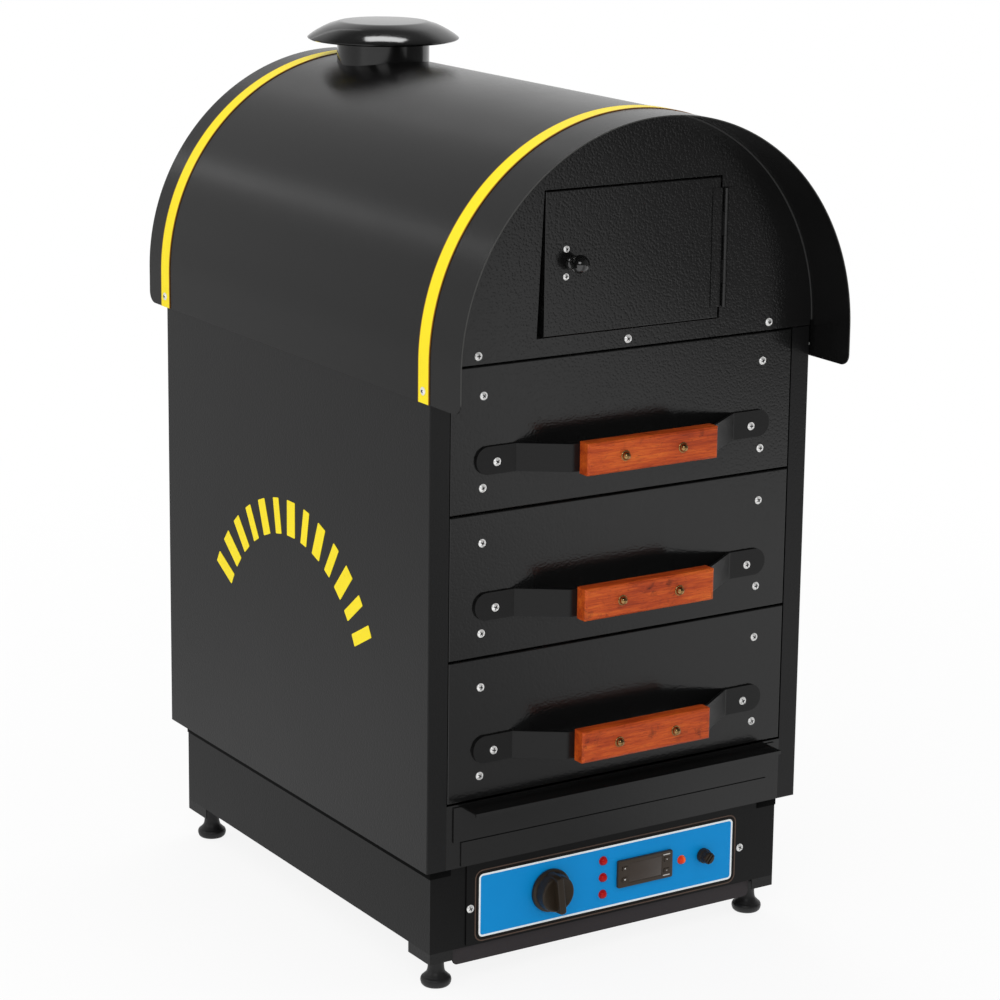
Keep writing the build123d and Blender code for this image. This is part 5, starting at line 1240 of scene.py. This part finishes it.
# ------------ controls
@dataclass
class Controls:
    """Knobs, lamps and controller of the plinth."""

    line_z: float = 90.0
    film_y: float = -271.4
    film_z: float = 89.4
    edge_half: Pair = (174.9, 41.1)
    edge_width: float = 1.5
    edge_proud: Pair = (0.1, 0.38)
    edge_corners: Pair = (10.0, 8.8)
    knob_back: float = -272.2
    switch_x: float = -78.0
    switch_radius: float = 24.5
    switch_depth: float = 24.0
    switch_twist: float = 7.0
    bar_half: float = 5.6
    bar_taper: Point = (0.72, 0.93, 1.0)
    shaft_radius: float = 3.0
    shaft: float = 15.9
    limiter_x: float = 128.5
    limiter_radius: float = 8.4
    limiter_depth: float = 15.0
    limiter_twist: float = -42.0
    flutes: int = 10
    ridge_x: float = 1.9
    ridge_half: float = 0.9
    lamp_x: float = -8.0
    lamp_pitch: float = 19.6
    lit_x: float = 99.0
    lamp_radius: float = 5.3
    lamp_body: float = 3.8
    lamp_length: float = 18.0
    case_x: float = 47.5
    case_half: Pair = (37.0, 16.0)
    case_depth: float = 4.0
    housing_half: Pair = (35.0, 14.0)
    housing_depth: float = 58.0
    keys: tuple[tuple[str, int, int], ...] = (("key_power", -1, 1), ("key_set", -1, -1), ("key_up", 1, 1),
                                              ("key_down", 1, -1))
    key_reach: Pair = (28.5, 6.5)
    key_half: Pair = (3.7, 2.5)
    key_pocket: float = 3.4
    key_proud: float = 0.8
    mark_radius: float = 1.0
    mark_depth: float = 0.16
    line_rise: float = 12.2
    line_half: Pair = (4.6, 0.55)
    window_half: Pair = (22.5, 11.5)

    @property
    def case_front(self) -> float:
        """The y of the controller's front."""
        return self.film_y - self.case_depth

    def key_spot(self, side: int, level: int) -> Pair:
        """Return the x and z of the key on a side and level."""
        return self.case_x + side * self.key_reach[0], self.line_z + level * self.key_reach[1]

    def switch(self) -> Piece:
        """Return the switch knob: skirt, round body with a hollow face and a raised bar across it."""
        radius, inner = self.switch_radius, self.switch_radius - 3.0
        face = [(0.0, 14.6), (8.0, 14.8), (14.0, 15.6), (17.6, 16.7)]
        edge = arc((inner - 3.0, 15.0), 2.1, 80.0, 8.0, 6)
        skirt = [(inner - 0.5, 9.0), (inner + 0.1, 4.9), (inner + 0.9, 4.2), (radius - 0.9, 4.0),
                 (radius - 0.2, 3.5), (radius, 2.8), (radius, 0.5), (radius - 0.5, 0.0)]
        shaft = [(self.shaft_radius, 0.0), (self.shaft_radius, -self.shaft), (0.0, -self.shaft)]
        piece = turned(face + edge + skirt + shaft, steps=80)
        bar = block((-self.bar_half, -radius + 1.4, 2.0), (self.bar_half, radius - 1.4, self.switch_depth))
        with editing(bar):
            pick(bar, Part.VERTS, lambda co: co.z > 10.0 * MM)
            bpy.ops.transform.resize(value=self.bar_taper, center_override=(0.0, 0.0, 0.0))
        rounded(bar, 3.2, 5, "z")
        return smoothed(cut(piece, softened(bar, 1.1, 3, 50.0), "UNION"))

    def limiter(self) -> Piece:
        """Return the small fluted knob with its slot."""
        radius, depth = self.limiter_radius, self.limiter_depth
        barrel = radius - 1.5
        profile = [(0.0, depth - 1.2), (barrel - 1.4, depth - 1.2), (barrel - 0.4, depth - 1.8),
                   (barrel, depth - 2.8), (barrel + 0.2, 6.6), (radius - 1.0, 5.8), (radius - 0.2, 5.2),
                   (radius, 4.4), (radius, 0.4), (radius - 0.4, 0.0), (self.shaft_radius, 0.0),
                   (self.shaft_radius, -self.shaft), (0.0, -self.shaft)]
        knob = turned(profile, steps=48)
        for flute in range(self.flutes):
            angle = 2 * math.pi * flute / self.flutes
            spot = ((barrel + 0.75) * math.cos(angle), (barrel + 0.75) * math.sin(angle), 6.9)
            cut(knob, rod(1.1, spot, depth, Face.UP, 10))
        for side in SIDES:
            ridge = block((side * self.ridge_x - self.ridge_half, 1.0 - barrel, 4.0),
                          (side * self.ridge_x + self.ridge_half, barrel - 1.0, depth))
            cut(knob, softened(ridge, 0.3), "UNION")
        return smoothed(knob, MOULDED_ANGLE)

    def lens(self) -> Piece:
        """Return a lamp's domed lens with its thin collar."""
        radius, body = self.lamp_radius, self.lamp_body
        collar = [(radius - 0.3, 0.8), (radius, 0.5), (radius, 0.0), (body, 0.0), (body, -1.2), (0.0, -1.2)]
        return turned(arc((0.0, 0.6), radius - 0.5, 90.0, 4.0, 9) + collar, steps=40)

    def case(self) -> Piece:
        """Return the controller: rounded front with a sunk window and key pockets, and its housing."""
        middle, low = (self.case_x, self.line_z), self.case_front
        front = slab(middle, self.case_half, low, self.film_y)
        rounded(front, 2.0, 5, "y")
        softened(front, 0.7, 3, 40.0)
        cut(front, slab(middle, self.window_half, low - 1.0, low + 0.5))
        for _, side, level in sorted(self.keys, key=lambda key: key[1:]):
            cut(front, slab(self.key_spot(side, level), self.key_half, low - 1.0, low + self.key_pocket))
        body = slab(middle, self.housing_half, self.film_y - 0.2, self.film_y + self.housing_depth)
        return smoothed(cut(front, softened(body, 0.8), "UNION"), MOULDED_ANGLE)

    def marks(self) -> None:
        """Make the pale printed marks: dots and arrows on the keys, short lines on the case."""
        low = self.case_front
        for key, side, level in self.keys:
            mark = settled(start(bpy.ops.mesh.primitive_cylinder_add, vertices=3 if side > 0 else 16,
                                 radius=self.mark_radius * MM, depth=self.mark_depth * MM))
            softened(mark, 0.05, 1)
            x, z = self.key_spot(side, level)
            mark.data.transform(shift(x, low - self.key_proud - 0.03, z) @ turn(90.0, "X")
                                @ turn(180.0 * (level < 0), "Z"))
            dressed(f"{key}_mark", mark, MARK_PALE, "key_rubber", body=key)
        for name, level in (("case_line_lower", -1), ("case_line_upper", 1)):
            spot = (self.case_x + self.key_reach[0], self.line_z + level * self.line_rise)
            line = softened(slab(spot, self.line_half, low - 0.12, low + 0.1), 0.1, 1)
            dressed(name, line, MARK_PALE, "controller_case")

    def edge(self) -> Piece:
        """Return the thin raised edge that runs round the blue film."""
        middle, (half_x, half_z), width = (0.0, self.film_z), self.edge_half, self.edge_width
        front, back = self.edge_proud
        ring = slab(middle, self.edge_half, self.film_y + front, self.film_y + back)
        hole = slab(middle, (half_x - width, half_z - width), self.film_y - 1.0, self.film_y + 1.0)
        for piece, corner in zip((ring, hole), self.edge_corners):
            rounded(piece, corner, 7, "y")
        return softened(cut(ring, hole), 0.08, 1)

    def build(self) -> None:
        """Make and dress the controls."""
        dressed("film_edge_frame", self.edge(), FILM_EDGE, "overlay_film")
        for model, body, x, name, twist in (
                (self.switch(), "switch_knob", self.switch_x, "switch_bar_knob", self.switch_twist),
                (self.limiter(), "limiter_knob", self.limiter_x, "limiter_fluted_knob", self.limiter_twist)):
            knob = placed(model, (x, self.knob_back, self.line_z), Face.FRONT, twist)
            bpy.data.objects.remove(model)
            dressed(name, knob, KNOB_PHENOLIC, "knob_plastic", body, body=body)
        model = self.lens()
        lamps = [(self.lamp_x, self.line_z + step * self.lamp_pitch) for step in (-1, 0, 1)]
        red = [placed(model, (x, self.film_y, z), Face.FRONT) for x, z in lamps]
        dressed("unlit_lenses", joined(red), LENS_RED, "lamp_lens", "pilot_lamps")
        lit = placed(model, (self.lit_x, self.film_y, self.line_z), Face.FRONT)
        dressed("lit_lens", lit, LENS_LIT, "lamp_lens", "pilot_lamps")
        bpy.data.objects.remove(model)
        bodies = [rod(self.lamp_body - 0.1, (x, self.film_y + self.lamp_length, z), self.lamp_length - 1.3,
                      Face.FRONT, 32) for x, z in lamps + [(self.lit_x, self.line_z)]]
        dressed("lamp_bodies", softened(joined(bodies), 0.4), SWITCH_PLASTIC, "lamp_lens", "pilot_lamps")
        dressed("controller_case", self.case(), CASE_PLASTIC, "controller_case", "controller")
        inset = tuple(half - 0.2 for half in self.window_half)
        window = slab((self.case_x, self.line_z), inset, self.case_front + 0.3, self.case_front + 0.8)
        dressed("controller_window", softened(window, 0.15), WINDOW_PLASTIC, "controller_case")
        self.marks()


# ------------ feet to wool
@dataclass
class Feet:
    """Four levelling feet."""

    half_x: float = 210.0
    front_y: float = -249.0
    rear_y: float = 278.5
    disc: float = 17.0
    stem: float = 8.8
    stem_top: float = 42.7
    stud: float = 4.0
    stud_top: float = 62.0
    pitch: float = 1.25
    groove: float = 0.45

    def build(self) -> None:
        """Make one foot with its bell, collar and threaded stud, and dress four copies."""
        stem, disc, stud, top = self.stem, self.disc, self.stud, self.stud_top
        bell = [(0.0, 0.0), (disc - 4.4, 0.0), (disc - 2.4, 0.7), (disc - 1.0, 2.2), (disc - 0.3, 4.2),
                (disc, 6.0), (disc - 0.2, 7.8), (disc - 0.9, 9.4), (disc - 2.0, 10.4), (disc - 2.9, 10.9),
                (disc - 3.4, 11.6), (disc - 4.3, 12.6)]
        neck = [(stem + 2.0, 14.4), (stem + 0.9, 17.0), (stem + 0.3, 20.0), (stem, 24.0), (stem + 0.1, 29.0),
                (stem + 0.6, 33.0), (stem + 1.5, 36.5), (stem + 1.7, 38.0), (stem + 1.7, self.stem_top - 0.8),
                (stem + 0.9, self.stem_top), (stud, self.stem_top)]
        thread = []
        height = self.stem_top + 0.6
        while height + self.pitch < top:
            thread += [(stud, height), (stud - self.groove, height + 0.62)]
            height += self.pitch
        model = turned(bell + neck + thread + [(stud, height), (stud - 0.6, top), (0.0, top)], steps=48)
        for end, y in (("front", self.front_y), ("rear", self.rear_y)):
            for side, sign in (("left", -1), ("right", 1)):
                node = f"foot_{end}_{side}"
                foot = placed(model, (sign * self.half_x, y, 0.0), Face.UP)
                dressed(f"levelling_{node}", foot, FOOT_PLASTIC, "foot_plastic", node, body=node)
        bpy.data.objects.remove(model)


@dataclass
class PlinthShadowBand:
    """Black band round the plinth, under the cabinet's overhang, open along the front's middle: a painted
    shadow where the overhang shades the plinth's top.
    """

    half_x: float = 230.5
    front_y: float = -269.5
    rear_y: float = 299.0
    low: float = 130.7
    high: float = 144.4
    thickness: float = 0.9
    gap_half: float = 205.0

    def build(self) -> None:
        """Make the painted shadow band as one hollow ring and dress it."""
        x, front, sheet = self.half_x, self.front_y, self.thickness
        low, high = self.low - 1.0, self.high + 1.0
        ring = block((-x - sheet, front - sheet, self.low), (x + sheet, self.rear_y + sheet, self.high))
        cut(ring, block((-x, front, low), (x, self.rear_y, high)))
        cut(ring, block((-self.gap_half, front - 5.0, low), (self.gap_half, front + 5.0, high)))
        dressed("plinth_shadow_band", softened(ring, 0.3), SHADOW_BAND_BLACK, "base_coat")


@dataclass
class WallBars:
    """A plain arched row of yellow bars on each side wall."""

    wall_x: float = 245.0
    film: float = 0.3
    centre: Pair = (11.3, 286.8)
    radius: float = 179.8
    height: float = 41.0
    corner: float = 1.2
    half_sweep: float = 61.5
    widths: tuple[float, ...] = (15.0, 17.0, 15.0, 13.0, 16.0, 13.0, 18.0, 13.0, 17.0, 13.0, 18.0, 13.0,
                                 14.0)

    def bar(self, width: float) -> Piece:
        """Return one bar with eased corners, lying on the XY plane, its height along Y.

        Args:
            width: its size along X, in mm.

        Returns:
            The closed bar.
        """
        piece = start(bpy.ops.mesh.primitive_plane_add, size=1.0)
        with editing(piece):
            bpy.ops.mesh.select_all(action="SELECT")
            bpy.ops.transform.resize(value=(width * MM, self.height * MM, 1.0))
            bpy.ops.mesh.bevel(offset=self.corner * MM, segments=4, affect="VERTICES")
        settled(modified(piece, "SOLIDIFY", thickness=self.film * MM, offset=1.0))
        low = min(vertex.co.z for vertex in piece.data.vertices)
        piece.data.transform(Matrix.Translation((0.0, 0.0, -low)))
        return piece

    def build(self) -> None:
        """Lay the bars out in a row and dress a copy on each wall."""
        bars = [self.bar(width) for width in self.widths]
        for index, piece in enumerate(bars):
            lean = self.half_sweep - 2 * self.half_sweep / (len(bars) - 1) * index
            piece.data.transform(turn(lean, "Z") @ shift(0.0, self.radius, 0.0))
        row = joined(bars)
        row.data.transform(turn(90.0, "X"))
        for name, sign in (("left_wall_bars", -1), ("right_wall_bars", 1)):
            piece = placed(row, (sign * self.wall_x, *self.centre), Face.UP, sign * 90.0)
            dressed(name, piece, BAR_YELLOW, "trim_yellow")
        bpy.data.objects.remove(row)


@dataclass
class WoolBoards:
    """Mineral wool round the oven liner, as three matted boards."""

    inner_x: float = 218.0
    outer_x: float = 243.0
    front_y: float = -262.0
    rear_y: float = 289.0
    back_y: float = 304.5
    foot: float = 160.0
    top: float = 687.5
    slack: float = 1.6
    voxel: float = 7.0
    relief: float = 2.4

    def board(self, low: Point, high: Point) -> Piece:
        """Return one board with a matted surface.

        Args:
            low: its lower corner in mm.
            high: its upper corner in mm.

        Returns:
            The closed board.
        """
        piece = block([value + self.slack for value in low], [value - self.slack for value in high])
        modified(piece, "REMESH", mode="VOXEL", voxel_size=self.voxel * MM)
        texture = bpy.data.textures.new("wool_relief", "CLOUDS")
        texture.noise_scale = 0.02
        modified(piece, "DISPLACE", texture=texture, strength=self.relief * MM, mid_level=0.5,
                 texture_coords="GLOBAL")
        bpy.data.textures.remove(texture)
        bpy.ops.object.shade_smooth()
        return piece

    def build(self) -> None:
        """Make and dress the boards."""
        sides = ((-self.outer_x, -self.inner_x, self.front_y), (self.inner_x, self.outer_x, self.front_y),
                 (-self.inner_x, self.inner_x, self.rear_y))
        boards = [self.board((low, front, self.foot), (high, self.back_y, self.top))
                  for low, high, front in sides]
        dressed("wool_boards", joined(boards), WOOL, "insulation", "insulation_blanket")


# ------------ packed steel
@dataclass
class PackedSteel:
    """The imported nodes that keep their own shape, and the finish of each."""

    def finishes(self) -> dict[str, Finish]:
        """Return the finish of each node that stays."""
        groups: dict[Finish, str] = {
            WALL_COAT: "left_side_panel right_side_panel back_panel",
            FRONT_COAT: "floor_panel arched_front crumb_tray door_panel hinge_frame_leaf hinge_door_leaf"
                        " drawer_1_front drawer_2_front drawer_3_front",
            STRAP_COAT: "drawer_1_handle_strap drawer_2_handle_strap drawer_3_handle_strap",
            SHEET_STEEL: "front_frame drawer_runners warming_deck warming_liner oven_liner"
                         " drawer_1_box drawer_2_box drawer_3_box",
            BASE_COAT: "base_shell control_plate", BRACKET_COAT: "foot_brackets", PAN_COAT: "bottom_pan",
            SHEATH: "heating_elements temperature_probe", FILM_PRINT: "control_overlay",
            SWITCH_PLASTIC: "rotary_switch limiter_body terminal_block cable_gland",
            KEY_RUBBER: "key_power key_set key_up key_down",
        }
        return {name: finish for finish, names in groups.items() for name in names.split()}

    def build(self) -> None:
        """Put each finish in its node's material slots."""
        for name, finish in self.finishes().items():
            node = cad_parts[name]
            if not node.material_slots:
                node.data.materials.append(None)
            for entry in node.material_slots:
                entry.material = material_of(finish)
            LOG.info("finished %s in %s", name, finish.name)


# ------------ studio
@dataclass(frozen=True)
class Softbox:
    """A rectangular lamp that looks at a point, in metres, with its height along a direction."""

    name: str
    place: Point
    target: Point
    width: float
    height: float
    power: float
    along: Point = (0.0, 0.0, 1.0)

    def hang(self) -> None:
        """Add the lamp to the scene."""
        data = bpy.data.lights.new(self.name, "AREA")
        data.shape = "RECTANGLE"
        data.size, data.size_y = self.width, self.height
        data.energy = self.power
        back = (Vector(self.place) - Vector(self.target)).normalized()
        side = Vector(self.along).cross(back).normalized()
        linked(self.name, data).matrix_world = basis(side, back.cross(side), self.place)


@dataclass
class Studio:
    """White floor and surround, soft lamps, and the camera at the photograph's angle.

    Each ramp eases a level over a coordinate: from, to and, unless they are 0 and 1, the levels there. They
    shape what the black coat mirrors: the surround's level over a direction's x, z and y, and the floor's
    over the distance from the object and the bearing x / -y in front of it, and over y beside it.
    """

    camera_place: Point = (-1.8703, -2.9606, 1.3679)
    camera_right: Point = (0.8428826, -0.53794954, 0.01261794)
    camera_up: Point = (0.10809471, 0.1922455, 0.97537541)
    lens: float = 112.702
    sensor: float = 36.0
    lens_shift: Pair = (-0.00617, -0.09901)
    size: float = 60.0
    ambient: float = 0.80
    dark_side: float = 0.14
    sky_across: Ramp = (0.05, 0.50, 0.60, 0.86)
    sky_above: Ramp = (0.55, 0.80, 1.0, 0.22)
    sky_behind: Ramp = (-0.35, 0.30, 0.14, 1.0)
    far_floor: Ramp = (2.2, 4.2)
    far_bearing: Ramp = (0.61, 0.70)
    far_drift: Ramp = (3.5, 6.0)
    far_lean: float = 0.07
    front_bearing: Ramp = (0.25, 0.66, 0.56, 1.0)
    front_distance: Ramp = (1.2, 3.0, 0.80, 1.0)
    left_depth: Ramp = (0.4, 1.5, 0.31, 0.46)
    shadow_fade: Ramp = (0.9, 2.2, 0.88, 1.0)
    floor_tone: Colour = grey(0.93)
    boxes: tuple[Softbox, ...] = (
        Softbox("front_left_box", (-1.9, -2.4, 2.2), (0.0, -0.2, 0.5), 1.6, 1.2, 17.0),
        Softbox("left_box", (-2.8, 0.2, 1.6), (-0.2, 0.0, 0.5), 1.8, 1.6, 8.0),
        Softbox("overhead_box", (0.50, 0.95, 3.9), (0.0, 0.23, 0.98), 1.3, 0.6, 22.0),
        Softbox("crown_strip", (0.43, 2.76, 2.66), (-0.125, 0.0, 0.915), 0.12, 1.7, 0.48,
                (-0.10, 0.95, -0.30)),
        Softbox("shoulder_strip", (-1.34, 2.58, 1.87), (-0.215, 0.0, 0.825), 0.12, 1.5, 0.95,
                (0.218, 0.954, -0.204)),
    )

    def camera(self) -> None:
        """Place the camera and make it the scene's."""
        data = bpy.data.cameras.new("photo_camera")
        data.sensor_width = self.sensor
        data.lens = self.lens
        data.shift_x, data.shift_y = self.lens_shift
        data.clip_end = self.size
        camera = linked("photo_camera", data)
        right, up = Vector(self.camera_right).normalized(), Vector(self.camera_up).normalized()
        camera.matrix_world = basis(right, up, self.camera_place)
        bpy.context.scene.camera = camera

    def surround(self) -> None:
        """Make the white surround: plain white to see and to mirror, dimmer as a lamp."""
        world = bpy.context.scene.world = bpy.data.worlds.new("studio_surround")
        shader = Shader(world.name, world)
        across, behind, above = (shader.axis(letter, "Generated").ramp(*ramp) for letter, ramp in
                                 (("X", self.sky_across), ("Y", self.sky_behind), ("Z", self.sky_above)))
        seen, mirrored = shader.seen(), shader.sight("Is Glossy Ray")
        unseen = 1.0 - seen
        level = unseen * (1.0 - mirrored) * self.ambient + seen + mirrored * unseen * behind * across * above
        sky = shader.make("Background", {}, {"Color": rgba(WHITE), "Strength": level})
        shader.make("OutputWorld", {}, {"Surface": sky})

    def floor(self) -> None:
        """Lay the white floor: it keeps the object's shadow and ends in the dark far in front."""
        plane = settled(start(bpy.ops.mesh.primitive_plane_add, size=self.size))
        plane.name = "studio_floor"
        shader = Shader(plane.name)
        x, y = shader.axis("X"), shader.axis("Y")
        ahead, away = 0.0 - y, (x * x + y * y) ** 0.5
        bearing = x / ahead.at_least(0.05)
        far = (bearing + away.ramp(*self.far_drift) * self.far_lean).ramp(*self.far_bearing)
        dark = far * away.ramp(*self.far_floor) * ahead.ramp(0.0, 0.4) * (1.0 - self.dark_side)
        level = bearing.ramp(*self.front_bearing) * away.ramp(*self.front_distance)
        front = ahead.ramp(0.1, 0.5) * x.ramp(-0.3, 0.0) * (1.0 - level)
        left = (0.0 - x).ramp(-0.2, 0.2) * y.ramp(-0.6, 0.0) * y.ramp(*self.left_depth)
        mirror = shader.emission(shader.shaded(WHITE, (1.0 - dark) * (1.0 - left) * (1.0 - front)))
        tone = shader.shaded(self.floor_tone, 0.99 + shader.noise(0.8) * 0.02)
        matt = shader.make("BsdfDiffuse", {}, {"Color": tone})
        shown = shader.mixed(shader.seen() * away.ramp(*self.shadow_fade), matt, shader.emission(WHITE))
        surface = shader.mixed(shader.sight("Is Glossy Ray"), shown, mirror)
        shader.make("OutputMaterial", {}, {"Surface": surface})
        plane.data.materials.append(shader.material)

    def build(self) -> None:
        """Set up the studio and the plain view transform."""
        self.camera()
        for box in self.boxes:
            box.hang()
        self.surround()
        self.floor()
        bpy.context.scene.view_settings.view_transform = "Standard"


def main() -> None:
    """Build the whole scene in order."""
    logging.basicConfig(level=logging.INFO, format="%(name)s: %(message)s")
    Studio().build()
    PackedSteel().build()
    Hood().build()
    fasteners = Fasteners()
    screw, short_screw = fasteners.screw(fasteners.shank), fasteners.screw(fasteners.short_shank)
    nut = fasteners.domed_nut()
    dressed("casing_screw_set", fasteners.casing(screw, short_screw), ZINC, "fasteners", "casing_screws")
    WarmingDoor().build(short_screw)
    for number in (1, 2, 3):
        Drawer(number).build(screw, nut)
    for model in (screw, short_screw, nut):
        bpy.data.objects.remove(model)
    for group in (Controls(), Feet(), PlinthShadowBand(), WallBars(), WoolBoards()):
        group.build()


if __name__ == "__main__":
    main()
